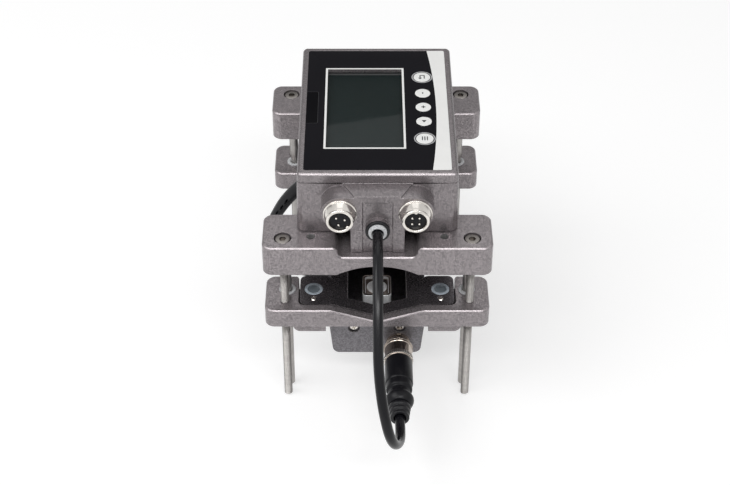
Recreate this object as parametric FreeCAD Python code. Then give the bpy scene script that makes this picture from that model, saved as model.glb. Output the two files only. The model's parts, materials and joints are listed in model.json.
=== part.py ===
import FreeCAD, Part
import math
import os

from FreeCAD import Vector

# Clamp-on ultrasonic flow meter, modelled in millimetres.
# X runs across the pipe, Y along it (the connectors face -Y), Z up from the feet.

# Clamp bars: their length is the vee, an ear, a leg and an end on each side
VEE_WIDTH = 44.4
VEE_DEPTH = 7.1
EAR_WIDTH = 14.9
EAR_TO_LEG = 6.9
LEG_INSET = 9.5
BAR_DEPTH = 26.2
BAR_SPACING = 109.8
UPPER_BAR_HEIGHT = 16.4
LOWER_BAR_HEIGHT = 10.5
BAR_GAP = 21.6
LOWER_BAR_LIFT = 50.5
BAR_CORNER = 4.5
BAR_BEVEL = 0.7
NOTCH_DEPTH = 5.4
NOTCH_WIDTH = 37.0
ARCH_WIDTH = 40.0
ARCH_RISE = 5.6
SPARE_HOLE_RADIUS = 2.0
SPARE_HOLE_SPACING = 62.0
SPARE_HOLE_INSET = 9.0

# Clamp screws and guide rods
SCREW_RADIUS = 2.0
SCREW_INSET = 8.0
SCREW_HEAD_RADIUS = 3.5
SCREW_HEAD_HEIGHT = 4.0
SCREW_SOCKET = 3.0
SCREW_SOCKET_DEPTH = 2.0
COUNTERBORE_RADIUS = 4.1
COUNTERBORE_DEPTH = 4.55
ROD_RADIUS = 2.0
ROD_INSET = 15.6
ROD_SIDE_INSET = 1.0
ROD_GRIP = 10.0
TIP_CHAMFER = 0.6
BUSHING_RADIUS = 3.0
BUSHING_FLANGE_RADIUS = 4.0
BUSHING_FLANGE = 0.8
RUNNING_CLEARANCE = 0.05

# Cradle between the lower bars
BAR_LIP = 4.4
CRADLE_GAP = 0.5
CRADLE_DROP = 2.5
LEDGE_THICKNESS = 2.0
EAR_CORNER = 3.0
LEDGE_DROP = 6.3
LEDGE_CORNER = 3.5
LEDGE_INSET = 2.5
LEDGE_OVERLAP = 3.2
LEDGE_MARGIN = 2.0
EAR_CAP_OFFSET = 8.3
EAR_CAP_INSET = 16.4
EAR_CAP_RADIUS = 4.35
EAR_CAP_DEPTH = 1.6
EAR_CAP_DISH = 0.9
EAR_CAP_RIM = 1.35
EAR_SCREW_RADIUS = 2.0
EAR_SCREW_HEAD = 2.6
EAR_PIN_RADIUS = 1.5
EAR_PIN_INSET = 9.4
WINDOW_HALF = 14.0
WINDOW_INSET = 7.8
WINDOW_LENGTH = 67.3

# Lower sensor box
BOX_DEPTH = 25.5
BOX_OVERHANG = 1.7
BOX_TAPER = 2.5
BOX_CORNER = 3.5
BOX_WALL = 2.5
BOX_COVER = 3.0
BOX_FLANGE = 3.0
BOX_FLANGE_REACH = 6.0
BOX_FLANGE_INSET = 2.1
COVER_SCREW_X = 11.2
COVER_SCREW_GAP = 0.8
COVER_SCREW_RADIUS = 1.5
COVER_SCREW_HEAD = 2.3
COVER_SCREW_CROWN = 1.4
COVER_SCREW_CLEARANCE = 0.5
COVER_SCREW_SINK = 0.4
COVER_SCREW_EASE = 0.4
COVER_SCREW_RECESS = 1.6
COVER_SCREW_LENGTH = 9.0
BOX_SCREW_INSET = 5.2
BOX_SCREW_LENGTH = 8.0

# Transducers and their coupling blocks
BLOCK_WIDTH = 14.0
BLOCK_INSET = 6.0
BLOCK_LENGTH = 15.5
BLOCK_PROUD = 0.6
BLOCK_HEIGHT = 9.0
BLOCK_CORNER = 2.0
BLOCK_RIM = 1.4
BLOCK_DISC_RADIUS = 5.3
BLOCK_DISC_DEPTH = 1.2
TRANSDUCER_HEIGHT = 11.0
UPPER_PAD_INSET = 3.8
UPPER_PAD_DROP = 1.6
UPPER_PAD_HEIGHT = 3.0

# Housing
HOUSING_WIDTH = 75.0
HOUSING_OVERHANG = 13.7
HOUSING_DRAFT_X = 0.5
HOUSING_DRAFT_Y = 1.5
HOUSING_HEIGHT = 27.05
HOUSING_FOOT = 0.6
HOUSING_CORNER = 4.0
HOUSING_WALL = 3.2
HOUSING_FLOOR = 3.0
LID_HEIGHT = 5.15
LID_STEP = 0.1
LID_END_STEP = 0.1
LID_EDGE = 1.05
LID_CORNER = 2.2
LID_PLATE = 3.0
LID_BORDER = 3.0
LID_END_BORDER = 3.2
OVERLAY_THICKNESS = 0.5
OVERLAY_SINK = 0.1
OVERLAY_CORNER = 1.0
SEAL_WIDTH = 1.4
SEAL_DEPTH = 1.0
POST_RADIUS = 4.2
POST_SIDE_INSET = 7.3
POST_INSET = 5.7
LID_SCREW_RADIUS = 1.5
LID_SCREW_HEAD = 2.7
LID_SCREW_LENGTH = 14.0
BAR_SCREW_HEAD_RADIUS = 3.5
BAR_SCREW_HEAD = 4.0
BAR_SCREW_ENGAGEMENT = 8.0

# Display, keys and boards
DISPLAY_X = -5.9
DISPLAY_Y = 0.3
DISPLAY_WIDTH = 36.4
DISPLAY_LENGTH = 66.7
DISPLAY_SINK = 2.0
DISPLAY_CORNER = 1.0
WINDOW_LEDGE = 1.6
LCD_MARGIN = 3.0
LCD_HEIGHT = 5.0
KEY_X = 22.2
KEY_PITCH = 12.0
KEY_END_PITCH = 26.2
KEY_RADIUS = 3.7
END_KEY_RADIUS = 4.1
KEY_PROUD = 0.15
KEY_GAP = 0.6
KEY_BOARD_GAP = 0.5
KEY_BOARD_WIDTH = 12.5
KEY_BOARD_LENGTH = 66.0
BOARD_THICKNESS = 1.6
BOARD_LIFT = 8.0
BOARD_MARGIN = 4.0
BOARD_POST_RADIUS = 3.0
BOARD_POST_X = 21.0
BOARD_POST_Y = 30.0

# Front boss with its connectors and cable gland
BOSS_REACH = 8.7
BOSS_TOP_DROP = 0.95
BOSS_CREST = 0.9
BOSS_NECK_HALF = 12.5
CREST_REAR_HALF = 16.8
CREST_FRONT_HALF = 10.5
CONNECTOR_X = 17.2
CONNECTOR_BOSS_RADIUS = 8.7
CONNECTOR_FLANGE_RADIUS = 7.75
CONNECTOR_FLANGE = 1.8
CONNECTOR_RADIUS = 6.35
CONNECTOR_REACH = 6.4
CONNECTOR_TAIL_RADIUS = 5.6
CONNECTOR_BORE_RADIUS = 4.9
INSERT_SINK = 1.3
PIN_RADIUS = 0.55
PIN_CIRCLE = 2.3
PIN_SINK = 0.3
PIN_LENGTH = 9.0
CONNECTOR_KEY_RADIUS = 0.9
PANEL_HALF = 6.9
PANEL_DROP = 2.7
PANEL_DEPTH = 0.9
GLAND_DROP = 18.05
GLAND_RIM_RADIUS = 5.6
GLAND_RIM = 2.7
GLAND_SEAL_RADIUS = 5.0
GLAND_SEAL_REACH = 3.0
GLAND_LIP_RADIUS = 5.7
GLAND_SLEEVE_RADIUS = 4.3
GLAND_SLEEVE_REACH = 4.5
GLAND_DEPTH = 6.0

# Cables and the round plug
CABLE_RADIUS = 2.4
JUMPER_RADIUS = 1.9
PLUG_X = 10.5
PLUG_RISE = 7.1
SOCKET_RADIUS = 5.9
SOCKET_REACH = 1.5
SOCKET_NECK_RADIUS = 5.4
NUT_STANDOFF = 4.3
NUT_LENGTH = 10.9
NUT_RADIUS = 6.9
NUT_RIM = 2.9
NUT_RIM_RADIUS = 7.2
NUT_COLLAR = 2.0
NUT_TEETH = 36
NUT_TOOTH = 0.35
PLUG_BODY_RADIUS = 6.75
PLUG_BODY_LENGTH = 15.3
PLUG_BAND_LENGTH = 4.5
PLUG_BAND_RADIUS = 6.3
PLUG_WAIST = 3.3
PLUG_WAIST_RADIUS = 5.1
PLUG_COLLAR_RADIUS = 6.9
PLUG_COLLAR_LENGTH = 6.8
PLUG_COLLAR_EASE = 1.6
BOOT_RADIUS = 5.3
BOOT_TIP_RADIUS = 4.6
BOOT_LENGTH = 8.2
BOOT_RIBS = 2
BOOT_GROOVE = 0.7
BOOT_GROOVE_WIDTH = 0.6
BOOT_SLOPE = 0.35
BOOT_MOUTH_RADIUS = 2.9
BOOT_MOUTH_DEPTH = 5.0
RELIEF_RADIUS = 3.3
RELIEF_WALL = 0.7
RELIEF_Z = 95.0
RELIEF_BULGE = 1.5
RELIEF_STATIONS = 5

# The cables' routes, from the housing down to the sensor box
CABLE_ROUTE = [
    (0.0, -64.2, 108.0),
    (0.0, -77.0, 108.0),
    (0.0, -90.0, 103.8),
    (0.0, -101.5, 95.6),
    (0.0, -112.0, 84.8),
    (0.2, -121.8, 73.0),
    (1.8, -129.9, 60.3),
    (4.2, -134.4, 49.2),
    (5.8, -134.4, 42.7),
    (7.6, -131.8, 36.5),
    (9.4, -127.0, 31.9),
    (10.5, -121.3, 29.6),
    (10.6, -115.2, 29.2),
    (10.5, -109.2, 29.6),
    (10.5, -103.3, 29.6),
]
JUMPER_ROUTE = [
    (-50.2, -15.0, 76.5),
    (-53.0, -15.0, 68.8),
    (-53.0, -15.0, 58.0),
    (-49.2, -15.0, 49.6),
    (-42.2, -15.0, 43.4),
    (-35.0, -15.0, 40.0),
    (-28.5, -15.0, 40.0),
]

# Sizes that follow from those above
vee_half = VEE_WIDTH / 2
ear_outer_x = vee_half + EAR_WIDTH
leg_x = ear_outer_x + EAR_TO_LEG
bar_half = leg_x + LEG_INSET
bar_inner_y = (BAR_SPACING - BAR_DEPTH) / 2
bar_outer_y = (BAR_SPACING + BAR_DEPTH) / 2
lower_bar_top = LOWER_BAR_LIFT + LOWER_BAR_HEIGHT
upper_bar_bottom = lower_bar_top + BAR_GAP
upper_bar_top = upper_bar_bottom + UPPER_BAR_HEIGHT
screw_y = bar_outer_y - SCREW_INSET
rod_x = leg_x - ROD_SIDE_INSET
rod_y = bar_outer_y - ROD_INSET
arch_radius = (ARCH_WIDTH ** 2 / 4 + ARCH_RISE ** 2) / (2 * ARCH_RISE)
arch_crown = upper_bar_bottom + ARCH_RISE
vee_floor = lower_bar_top - VEE_DEPTH
cradle_end_y = bar_outer_y - BAR_LIP - CRADLE_GAP
cradle_bottom = LOWER_BAR_LIFT - CRADLE_DROP
ledge_top = LOWER_BAR_LIFT + LEDGE_THICKNESS
ledge_x0 = vee_half + LEDGE_INSET
ledge_x1 = ear_outer_x + LEDGE_OVERLAP
ledge_bottom = LOWER_BAR_LIFT - LEDGE_DROP
ear_cap_x = vee_half + EAR_CAP_OFFSET
ear_cap_y = bar_outer_y - EAR_CAP_INSET
ear_pin_y = bar_outer_y - EAR_PIN_INSET
window_front_y = -cradle_end_y + WINDOW_INSET
window_rear_y = window_front_y + WINDOW_LENGTH
box_flange_bottom = cradle_bottom - BOX_FLANGE
box_flange_y = cradle_end_y - BOX_FLANGE_INSET
box_end_y = box_flange_y - BOX_FLANGE_REACH
box_front_y = -box_end_y
box_inner_y = box_end_y - BOX_COVER
box_bottom = cradle_bottom - BOX_DEPTH
box_top_half = vee_half + BOX_OVERHANG
box_bottom_half = box_top_half - BOX_TAPER
box_screw_x = vee_half - BOX_SCREW_INSET
box_screw_y = box_flange_y - BOX_FLANGE_REACH / 2
plug_z = box_bottom + PLUG_RISE
cover_screw_z = plug_z + SOCKET_RADIUS + COVER_SCREW_GAP + COVER_SCREW_HEAD
nut_front_y = box_front_y - NUT_STANDOFF - NUT_LENGTH
plug_join_y = nut_front_y + NUT_LENGTH / 2
plug_body_end_y = nut_front_y - PLUG_BODY_LENGTH
band_end_y = plug_body_end_y - PLUG_BAND_LENGTH
collar_start_y = band_end_y - PLUG_WAIST
collar_end_y = collar_start_y - PLUG_COLLAR_LENGTH
boot_tip_y = collar_end_y - BOOT_LENGTH
housing_half = HOUSING_WIDTH / 2
housing_end_y = bar_inner_y + HOUSING_OVERHANG
parting_z = upper_bar_top + HOUSING_HEIGHT
parting_half = housing_half - HOUSING_DRAFT_X
parting_end_y = housing_end_y - HOUSING_DRAFT_Y
lid_half = parting_half - LID_STEP
lid_end_y = parting_end_y - LID_END_STEP
lid_top = parting_z + LID_HEIGHT
overlay_top = lid_top - OVERLAY_SINK
overlay_bottom = overlay_top - OVERLAY_THICKNESS
plate_bottom = overlay_bottom - LID_PLATE
overlay_half = lid_half - LID_BORDER
overlay_end_y = lid_end_y - LID_END_BORDER
cavity_half = parting_half - HOUSING_WALL
cavity_end_y = parting_end_y - HOUSING_WALL
cavity_floor = upper_bar_top + HOUSING_FLOOR
post_x = housing_half - POST_SIDE_INSET
post_y = bar_inner_y + POST_INSET
glass_top = overlay_top - DISPLAY_SINK
board_z = cavity_floor + BOARD_LIFT
boss_face_y = -housing_end_y - BOSS_REACH
boss_top = parting_z - BOSS_TOP_DROP
notch_floor = upper_bar_top - NOTCH_DEPTH
connector_z = boss_top - CONNECTOR_BOSS_RADIUS
connector_face_y = boss_face_y - CONNECTOR_REACH
panel_y = boss_face_y + PANEL_DEPTH
gland_z = parting_z - GLAND_DROP
block_front_y = box_front_y + BLOCK_INSET
block_rear_y = block_front_y + BLOCK_LENGTH
block_top = vee_floor + BLOCK_PROUD
block_bottom = block_top - BLOCK_HEIGHT
upper_pad_bottom = arch_crown - UPPER_PAD_DROP
upper_pad_top = upper_pad_bottom + UPPER_PAD_HEIGHT

# The frame's origin is midway between the connector faces and the rear bar.
origin_y = (bar_outer_y + connector_face_y) / 2


def box(x0, x1, y0, y1, z0, z1):
    """A block between two corners."""
    return Part.makeBox(x1 - x0, y1 - y0, z1 - z0, Vector(x0, y0, z0))


def post(x, y, radius, z0, z1):
    """An upright cylinder."""
    return Part.makeCylinder(radius, z1 - z0, Vector(x, y, z0))


def barrel(x, z, radius, y0, y1):
    """A cylinder along the pipe."""
    return Part.makeCylinder(radius, y1 - y0, Vector(x, y0, z), Vector(0, 1, 0))


def barrel_x(x0, x1, y, z, radius):
    """A cylinder across the pipe."""
    return Part.makeCylinder(radius, x1 - x0, Vector(x0, y, z), Vector(1, 0, 0))


def turned_y(x, z, outline):
    """A turned piece on an axis along Y, from (y, radius) pairs."""
    points = [Vector(x + radius, y, z) for y, radius in outline]
    face = Part.Face(Part.makePolygon(points + points[:1]))
    return face.revolve(Vector(x, 0, z), Vector(0, 1, 0), 360)


def turned_z(x, y, outline):
    """A turned piece on an upright axis, from (z, radius) pairs."""
    points = [Vector(x + radius, y, z) for z, radius in outline]
    face = Part.Face(Part.makePolygon(points + points[:1]))
    return face.revolve(Vector(x, y, 0), Vector(0, 0, 1), 360)


def rounded_wire(corners):
    """A closed wire through (point, radius) corners, with a tangent arc at each corner that has a radius."""
    count = len(corners)
    arcs = []
    for i in range(count):
        point, radius = corners[i]
        before = (corners[i - 1][0] - point).normalize()
        after = (corners[(i + 1) % count][0] - point).normalize()
        half = before.getAngle(after) / 2
        if radius == 0:
            arcs.append((point, None, point))
            continue
        reach = radius / math.tan(half)
        bisector = (before + after).normalize()
        centre = point + bisector * (radius / math.sin(half))
        arcs.append((point + before * reach, centre - bisector * radius, point + after * reach))
    edges = []
    for i in range(count):
        start, middle, end = arcs[i]
        if middle is not None:
            edges.append(Part.Arc(start, middle, end).toShape())
        following = arcs[(i + 1) % count][0]
        if end.distanceToPoint(following) > 1e-6:
            edges.append(Part.LineSegment(end, following).toShape())
    return Part.Wire(edges)


def profile_y(corners, y0, y1):
    """A prism along Y from (x, z, radius) corners."""
    wire = rounded_wire([(Vector(x, y0, z), radius) for x, z, radius in corners])
    return Part.Face(wire).extrude(Vector(0, y1 - y0, 0))


def plan_wire(half_x, y0, y1, z, radius):
    """A rounded rectangle in plan."""
    corners = [(-half_x, y0), (half_x, y0), (half_x, y1), (-half_x, y1)]
    return rounded_wire([(Vector(x, y, z), radius) for x, y in corners])


def plan_block(half_x, y0, y1, z0, z1, radius):
    """A block with rounded upright corners."""
    return Part.Face(plan_wire(half_x, y0, y1, z0, radius)).extrude(Vector(0, 0, z1 - z0))


def is_upright(edge):
    """True for a straight upright edge."""
    return isinstance(edge.Curve, Part.Line) and abs(edge.tangentAt(edge.FirstParameter).z) > 0.999


def all_at(edge, index, values):
    """True where the whole edge lies at one of the values along an axis."""
    return any(all(abs(abs(v.Point[index]) - value) < 1e-4 for v in edge.Vertexes) for value in values)


def joined(pieces):
    """One solid from touching pieces."""
    whole = pieces[0]
    for piece in pieces[1:]:
        whole = whole.fuse(piece)
    return whole.removeSplitter()


def without(shape, tools):
    """The shape with every tool cut out of it."""
    for tool in tools:
        shape = shape.cut(tool)
    return shape


def corners_of(x, y):
    """The four places at plus and minus x and y."""
    return [(sx * x, sy * y) for sy in (-1, 1) for sx in (-1, 1)]


def group(solids):
    """Separate solids that share a node."""
    return Part.makeCompound(solids)


def mirrored_rear(shape):
    """The matching piece at the other end of the pipe."""
    return shape.mirror(Vector(0, 0, 0), Vector(0, 1, 0))


def eased_bar(corners):
    """A bar with rounded upright corners and bevelled edges, at the front."""
    bar = profile_y(corners, -bar_outer_y, -bar_inner_y)
    bar = bar.makeFillet(BAR_CORNER, [e for e in bar.Edges if is_upright(e) and all_at(e, 0, [bar_half])])
    bevelled = []
    for edge in bar.Edges:
        if is_upright(edge):
            continue
        on_face = all_at(edge, 1, [bar_inner_y, bar_outer_y])
        at_end = all_at(edge, 0, [bar_half])
        turning = isinstance(edge.Curve, Part.Circle) and abs(edge.Curve.Axis.z) > 0.999
        if on_face or at_end or turning:
            bevelled.append(edge)
    return bar.makeChamfer(BAR_BEVEL, bevelled)


def upper_bar():
    """The front upper bar: notched on top, arched underneath, with counterbored screw holes."""
    notch = NOTCH_WIDTH / 2
    ease = NOTCH_DEPTH / 2
    corners = [
        (-bar_half, upper_bar_bottom, 0),
        (bar_half, upper_bar_bottom, 0),
        (bar_half, upper_bar_top, 0),
        (notch, upper_bar_top, ease),
        (notch, notch_floor, ease),
        (-notch, notch_floor, ease),
        (-notch, upper_bar_top, ease),
        (-bar_half, upper_bar_top, 0),
    ]
    bar = eased_bar(corners)
    arch = barrel(0, arch_crown - arch_radius, arch_radius, -bar_outer_y, -bar_inner_y)
    tools = [arch]
    for side in (-1, 1):
        x = side * leg_x
        tools.append(post(x, -screw_y, SCREW_RADIUS + RUNNING_CLEARANCE, upper_bar_bottom, upper_bar_top))
        tools.append(post(x, -screw_y, COUNTERBORE_RADIUS, upper_bar_top - COUNTERBORE_DEPTH, upper_bar_top))
        tools.append(post(side * rod_x, -rod_y, ROD_RADIUS, upper_bar_bottom, upper_bar_bottom + ROD_GRIP))
        spare_y = -bar_outer_y + SPARE_HOLE_INSET
        spare_x = side * SPARE_HOLE_SPACING / 2
        tools.append(post(spare_x, spare_y, SPARE_HOLE_RADIUS, upper_bar_bottom, upper_bar_top))
        tools.append(bar_screw(side * post_x, -post_y))
    return without(bar, tools)


def mouth_corner(side, pocket_half):
    """What rounding takes off a lower bar at the mouth of its pocket."""
    x = side * (pocket_half + EAR_CORNER)
    y = -bar_inner_y - EAR_CORNER
    span = sorted((side * pocket_half, x))
    block = box(span[0], span[1], y, -bar_inner_y, ledge_top, lower_bar_top)
    return block.cut(post(x, y, EAR_CORNER, ledge_top, lower_bar_top))


def lower_bar():
    """The front lower bar: a frame round the cradle's end, with a shallow vee and two ledges for its ears."""
    corners = [
        (-bar_half, LOWER_BAR_LIFT, 0),
        (bar_half, LOWER_BAR_LIFT, 0),
        (bar_half, lower_bar_top, 0),
        (vee_half, lower_bar_top, BAR_CORNER),
        (0, vee_floor, BAR_CORNER),
        (-vee_half, lower_bar_top, BAR_CORNER),
        (-bar_half, lower_bar_top, 0),
    ]
    bar = eased_bar(corners)
    pocket_half = ear_outer_x + CRADLE_GAP
    pocket_y = cradle_end_y + CRADLE_GAP
    pads = []
    for side in (-1, 1):
        pads.append(profile_y([
            (side * ledge_x0, LOWER_BAR_LIFT, 0),
            (side * ledge_x0, ledge_bottom, 0),
            (side * ledge_x1, ledge_bottom, LEDGE_CORNER),
            (side * ledge_x1, LOWER_BAR_LIFT, 0),
        ], -pocket_y, -bar_inner_y - LEDGE_MARGIN))
    bar = joined([bar] + pads)
    pocket = plan_block(pocket_half, -pocket_y, bar_inner_y, ledge_top, lower_bar_top, EAR_CORNER)
    middle_half = vee_half + CRADLE_GAP
    middle = box(-middle_half, middle_half, -pocket_y, bar_inner_y, ledge_bottom, lower_bar_top)
    tools = [pocket, middle]
    for side in (-1, 1):
        tools.append(mouth_corner(side, pocket_half))
        x = side * leg_x
        tools.append(post(x, -screw_y, SCREW_RADIUS + RUNNING_CLEARANCE, LOWER_BAR_LIFT, lower_bar_top))
        tools.append(post(side * rod_x, -rod_y, BUSHING_RADIUS, LOWER_BAR_LIFT, lower_bar_top))
        tools.append(ear_screw(side * ear_cap_x, -ear_cap_y))
        tools.append(ear_pin(side * ear_cap_x, -ear_pin_y))
    return without(bar, tools)


def clamp_screw(x, y):
    """A long socket-head clamp screw, whose tip is one of the feet."""
    seat = upper_bar_top - COUNTERBORE_DEPTH + RUNNING_CLEARANCE
    top = seat + SCREW_HEAD_HEIGHT
    outline = [
        (0, 0),
        (0, SCREW_RADIUS - TIP_CHAMFER),
        (TIP_CHAMFER, SCREW_RADIUS),
        (seat, SCREW_RADIUS),
        (seat, SCREW_HEAD_RADIUS),
        (top - TIP_CHAMFER, SCREW_HEAD_RADIUS),
        (top, SCREW_HEAD_RADIUS - TIP_CHAMFER),
        (top, 0),
    ]
    across = SCREW_SOCKET / math.sqrt(3)
    hexagon = []
    for i in range(6):
        turn = math.radians(60 * i)
        hexagon.append(Vector(x + across * math.cos(turn), y + across * math.sin(turn), top))
    socket = Part.Face(Part.makePolygon(hexagon + hexagon[:1])).extrude(Vector(0, 0, -SCREW_SOCKET_DEPTH))
    return turned_z(x, y, outline).cut(socket)


def guide_rod(x, y):
    """A smooth rod fixed in the upper bar, whose tip is one of the feet."""
    top = upper_bar_bottom + ROD_GRIP
    outline = [
        (0, 0),
        (0, ROD_RADIUS - TIP_CHAMFER),
        (TIP_CHAMFER, ROD_RADIUS),
        (top, ROD_RADIUS),
        (top, 0),
    ]
    return turned_z(x, y, outline)


def guide_bushing(x, y):
    """A flanged plastic bushing that runs on a guide rod."""
    bore = ROD_RADIUS + RUNNING_CLEARANCE
    outline = [
        (LOWER_BAR_LIFT, bore),
        (LOWER_BAR_LIFT, BUSHING_RADIUS),
        (lower_bar_top, BUSHING_RADIUS),
        (lower_bar_top, BUSHING_FLANGE_RADIUS),
        (lower_bar_top + BUSHING_FLANGE, BUSHING_FLANGE_RADIUS),
        (lower_bar_top + BUSHING_FLANGE, bore),
    ]
    return turned_z(x, y, outline)


def bar_screw(x, y):
    """A screw up through an upper bar into the housing's corner post."""
    seat = upper_bar_bottom + BAR_SCREW_HEAD
    outline = [
        (upper_bar_bottom, 0),
        (upper_bar_bottom, BAR_SCREW_HEAD_RADIUS),
        (seat, BAR_SCREW_HEAD_RADIUS),
        (seat, SCREW_RADIUS),
        (upper_bar_top + BAR_SCREW_ENGAGEMENT, SCREW_RADIUS),
        (upper_bar_top + BAR_SCREW_ENGAGEMENT, 0),
    ]
    return turned_z(x, y, outline)


def ear_screw(x, y):
    """A screw down through a cradle ear into the bar's ledge, under its cap."""
    top = lower_bar_top - EAR_CAP_DEPTH
    seat = top - EAR_SCREW_HEAD
    outline = [
        (ledge_bottom, 0),
        (ledge_bottom, EAR_SCREW_RADIUS),
        (seat, EAR_SCREW_RADIUS),
        (seat, EAR_CAP_RADIUS - EAR_CAP_RIM),
        (top, EAR_CAP_RADIUS - EAR_CAP_RIM),
        (top, 0),
    ]
    return turned_z(x, y, outline)


def ear_cap(x, y):
    """A dished plastic cap over an ear screw."""
    bottom = lower_bar_top - EAR_CAP_DEPTH
    outline = [
        (bottom, 0),
        (bottom, EAR_CAP_RADIUS),
        (lower_bar_top, EAR_CAP_RADIUS),
        (lower_bar_top, EAR_CAP_RADIUS - EAR_CAP_RIM),
        (lower_bar_top - EAR_CAP_DISH, EAR_CAP_RADIUS - 2 * EAR_CAP_RIM),
        (lower_bar_top - EAR_CAP_DISH, 0),
    ]
    return turned_z(x, y, outline)


def ear_pin(x, y):
    """A dowel that locates a cradle ear on its ledge."""
    return post(x, y, EAR_PIN_RADIUS, LOWER_BAR_LIFT, lower_bar_top)


def cradle():
    """The vee-topped casting that carries the pipe, with an ear at each corner."""
    corners = [
        (-vee_half, cradle_bottom, 0),
        (vee_half, cradle_bottom, 0),
        (vee_half, lower_bar_top, 0),
        (0, vee_floor, BAR_CORNER),
        (-vee_half, lower_bar_top, 0),
    ]
    beam = profile_y(corners, -cradle_end_y, cradle_end_y)
    pieces = [beam]
    for sx, sy in corners_of(1, 1):
        ear_y = sorted((sy * bar_inner_y, sy * cradle_end_y))
        ear = plan_block(EAR_WIDTH / 2, ear_y[0], ear_y[1], ledge_top, lower_bar_top, EAR_CORNER)
        ear.translate(Vector(sx * (vee_half + EAR_WIDTH / 2), 0, 0))
        web_x = sorted((sx * vee_half, sx * (vee_half + EAR_WIDTH / 2)))
        web_y = sorted((sy * (bar_inner_y + EAR_CORNER), sy * cradle_end_y))
        web = box(web_x[0], web_x[1], web_y[0], web_y[1], ledge_top, lower_bar_top)
        pieces += [ear, web]
    whole = joined(pieces)
    vee = profile_y([(-vee_half, lower_bar_top, 0), (0, vee_floor, BAR_CORNER), (vee_half, lower_bar_top, 0)],
                    -cradle_end_y, cradle_end_y)
    tools = [vee, box(-WINDOW_HALF, WINDOW_HALF, window_front_y, window_rear_y, cradle_bottom, lower_bar_top)]
    for x, y in corners_of(ear_cap_x, ear_cap_y):
        tools.append(ear_screw(x, y))
        tools.append(post(x, y, EAR_CAP_RADIUS, lower_bar_top - EAR_CAP_DEPTH, lower_bar_top))
    for x, y in corners_of(ear_cap_x, ear_pin_y):
        tools.append(ear_pin(x, y))
    for x, y in corners_of(box_screw_x, box_screw_y):
        tools.append(box_screw(x, y))
    return without(whole, tools)


def box_section(margin, y0, y1):
    """The sensor box's tapered section, drawn in by a margin."""
    corner = BOX_CORNER - margin / 2
    corners = [
        (-box_bottom_half + margin, box_bottom + margin, corner),
        (box_bottom_half - margin, box_bottom + margin, corner),
        (box_top_half - margin, cradle_bottom, 0),
        (-box_top_half + margin, cradle_bottom, 0),
    ]
    return profile_y(corners, y0, y1)


def sensor_box():
    """The tapered trough under the cradle, with a flange at its top."""
    shell = box_section(0, -box_inner_y, box_inner_y)
    flange = plan_block(vee_half, -box_flange_y, box_flange_y, box_flange_bottom, cradle_bottom, BOX_CORNER)
    shell = joined([shell, flange])
    tools = [box_section(BOX_WALL, -box_inner_y, box_inner_y)]
    end_x, end_y, end_z = JUMPER_ROUTE[-1]
    tools.append(barrel_x(-box_top_half, 0, end_y, end_z, JUMPER_RADIUS))
    for x, y in corners_of(box_screw_x, box_screw_y):
        tools.append(box_screw(x, y))
    return without(shell, tools)


def box_screw(x, y):
    """A countersunk screw up through the sensor box's flange into the cradle."""
    cone = COVER_SCREW_HEAD - COVER_SCREW_RADIUS
    outline = [
        (box_flange_bottom, 0),
        (box_flange_bottom, COVER_SCREW_HEAD),
        (box_flange_bottom + cone, COVER_SCREW_RADIUS),
        (cradle_bottom + BOX_SCREW_LENGTH - BOX_FLANGE, COVER_SCREW_RADIUS),
        (cradle_bottom + BOX_SCREW_LENGTH - BOX_FLANGE, 0),
    ]
    return turned_z(x, y, outline)


def cover_screw(x):
    """A pan-head screw sunk in the front cover."""
    face = box_front_y
    seat = face + COVER_SCREW_RECESS
    dome = face + COVER_SCREW_SINK
    outline = [
        (dome, 0),
        (dome, COVER_SCREW_CROWN),
        (dome + COVER_SCREW_EASE, COVER_SCREW_HEAD),
        (seat, COVER_SCREW_HEAD),
        (seat, COVER_SCREW_RADIUS),
        (face + COVER_SCREW_LENGTH, COVER_SCREW_RADIUS),
        (face + COVER_SCREW_LENGTH, 0),
    ]
    return turned_y(x, cover_screw_z, outline)


def box_cover():
    """The plate that closes the sensor box's front, with sunk screws and the socket's hole."""
    plate = box_section(0, box_front_y, box_front_y + BOX_COVER)
    plate = plate.cut(box(-box_top_half, box_top_half, box_front_y, box_front_y + BOX_COVER,
                          box_flange_bottom, cradle_bottom))
    recess = COVER_SCREW_HEAD + COVER_SCREW_CLEARANCE
    tools = []
    for side in (-1, 1):
        x = side * COVER_SCREW_X
        tools.append(barrel(x, cover_screw_z, recess, box_front_y, box_front_y + COVER_SCREW_RECESS))
        tools.append(barrel(x, cover_screw_z, COVER_SCREW_RADIUS, box_front_y, box_front_y + BOX_COVER))
    return plate, tools


def front_cover():
    """The front cover, bored for the sensor socket."""
    plate, tools = box_cover()
    tools.append(barrel(PLUG_X, plug_z, SOCKET_NECK_RADIUS, box_front_y, box_front_y + BOX_COVER))
    return without(plate, tools)


def rear_cover():
    """The rear cover, which is blank."""
    plate, tools = box_cover()
    return mirrored_rear(without(plate, tools))


def cover_bosses():
    """Bosses in the sensor box that take the cover screws, two at each end."""
    length = COVER_SCREW_LENGTH - BOX_COVER + BOX_WALL
    bosses = []
    for side in (-1, 1):
        x = side * COVER_SCREW_X
        outer = side * (box_top_half - BOX_WALL / 2)
        span = sorted((x, outer))
        lug = box(span[0], span[1], -box_inner_y, -box_inner_y + length,
                  cover_screw_z - 2 * COVER_SCREW_RADIUS, cover_screw_z + 2 * COVER_SCREW_RADIUS)
        boss = barrel(x, cover_screw_z, 2 * COVER_SCREW_RADIUS, -box_inner_y, -box_inner_y + length)
        bosses.append(boss.fuse(lug))
    return bosses + [mirrored_rear(boss) for boss in bosses]


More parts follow.
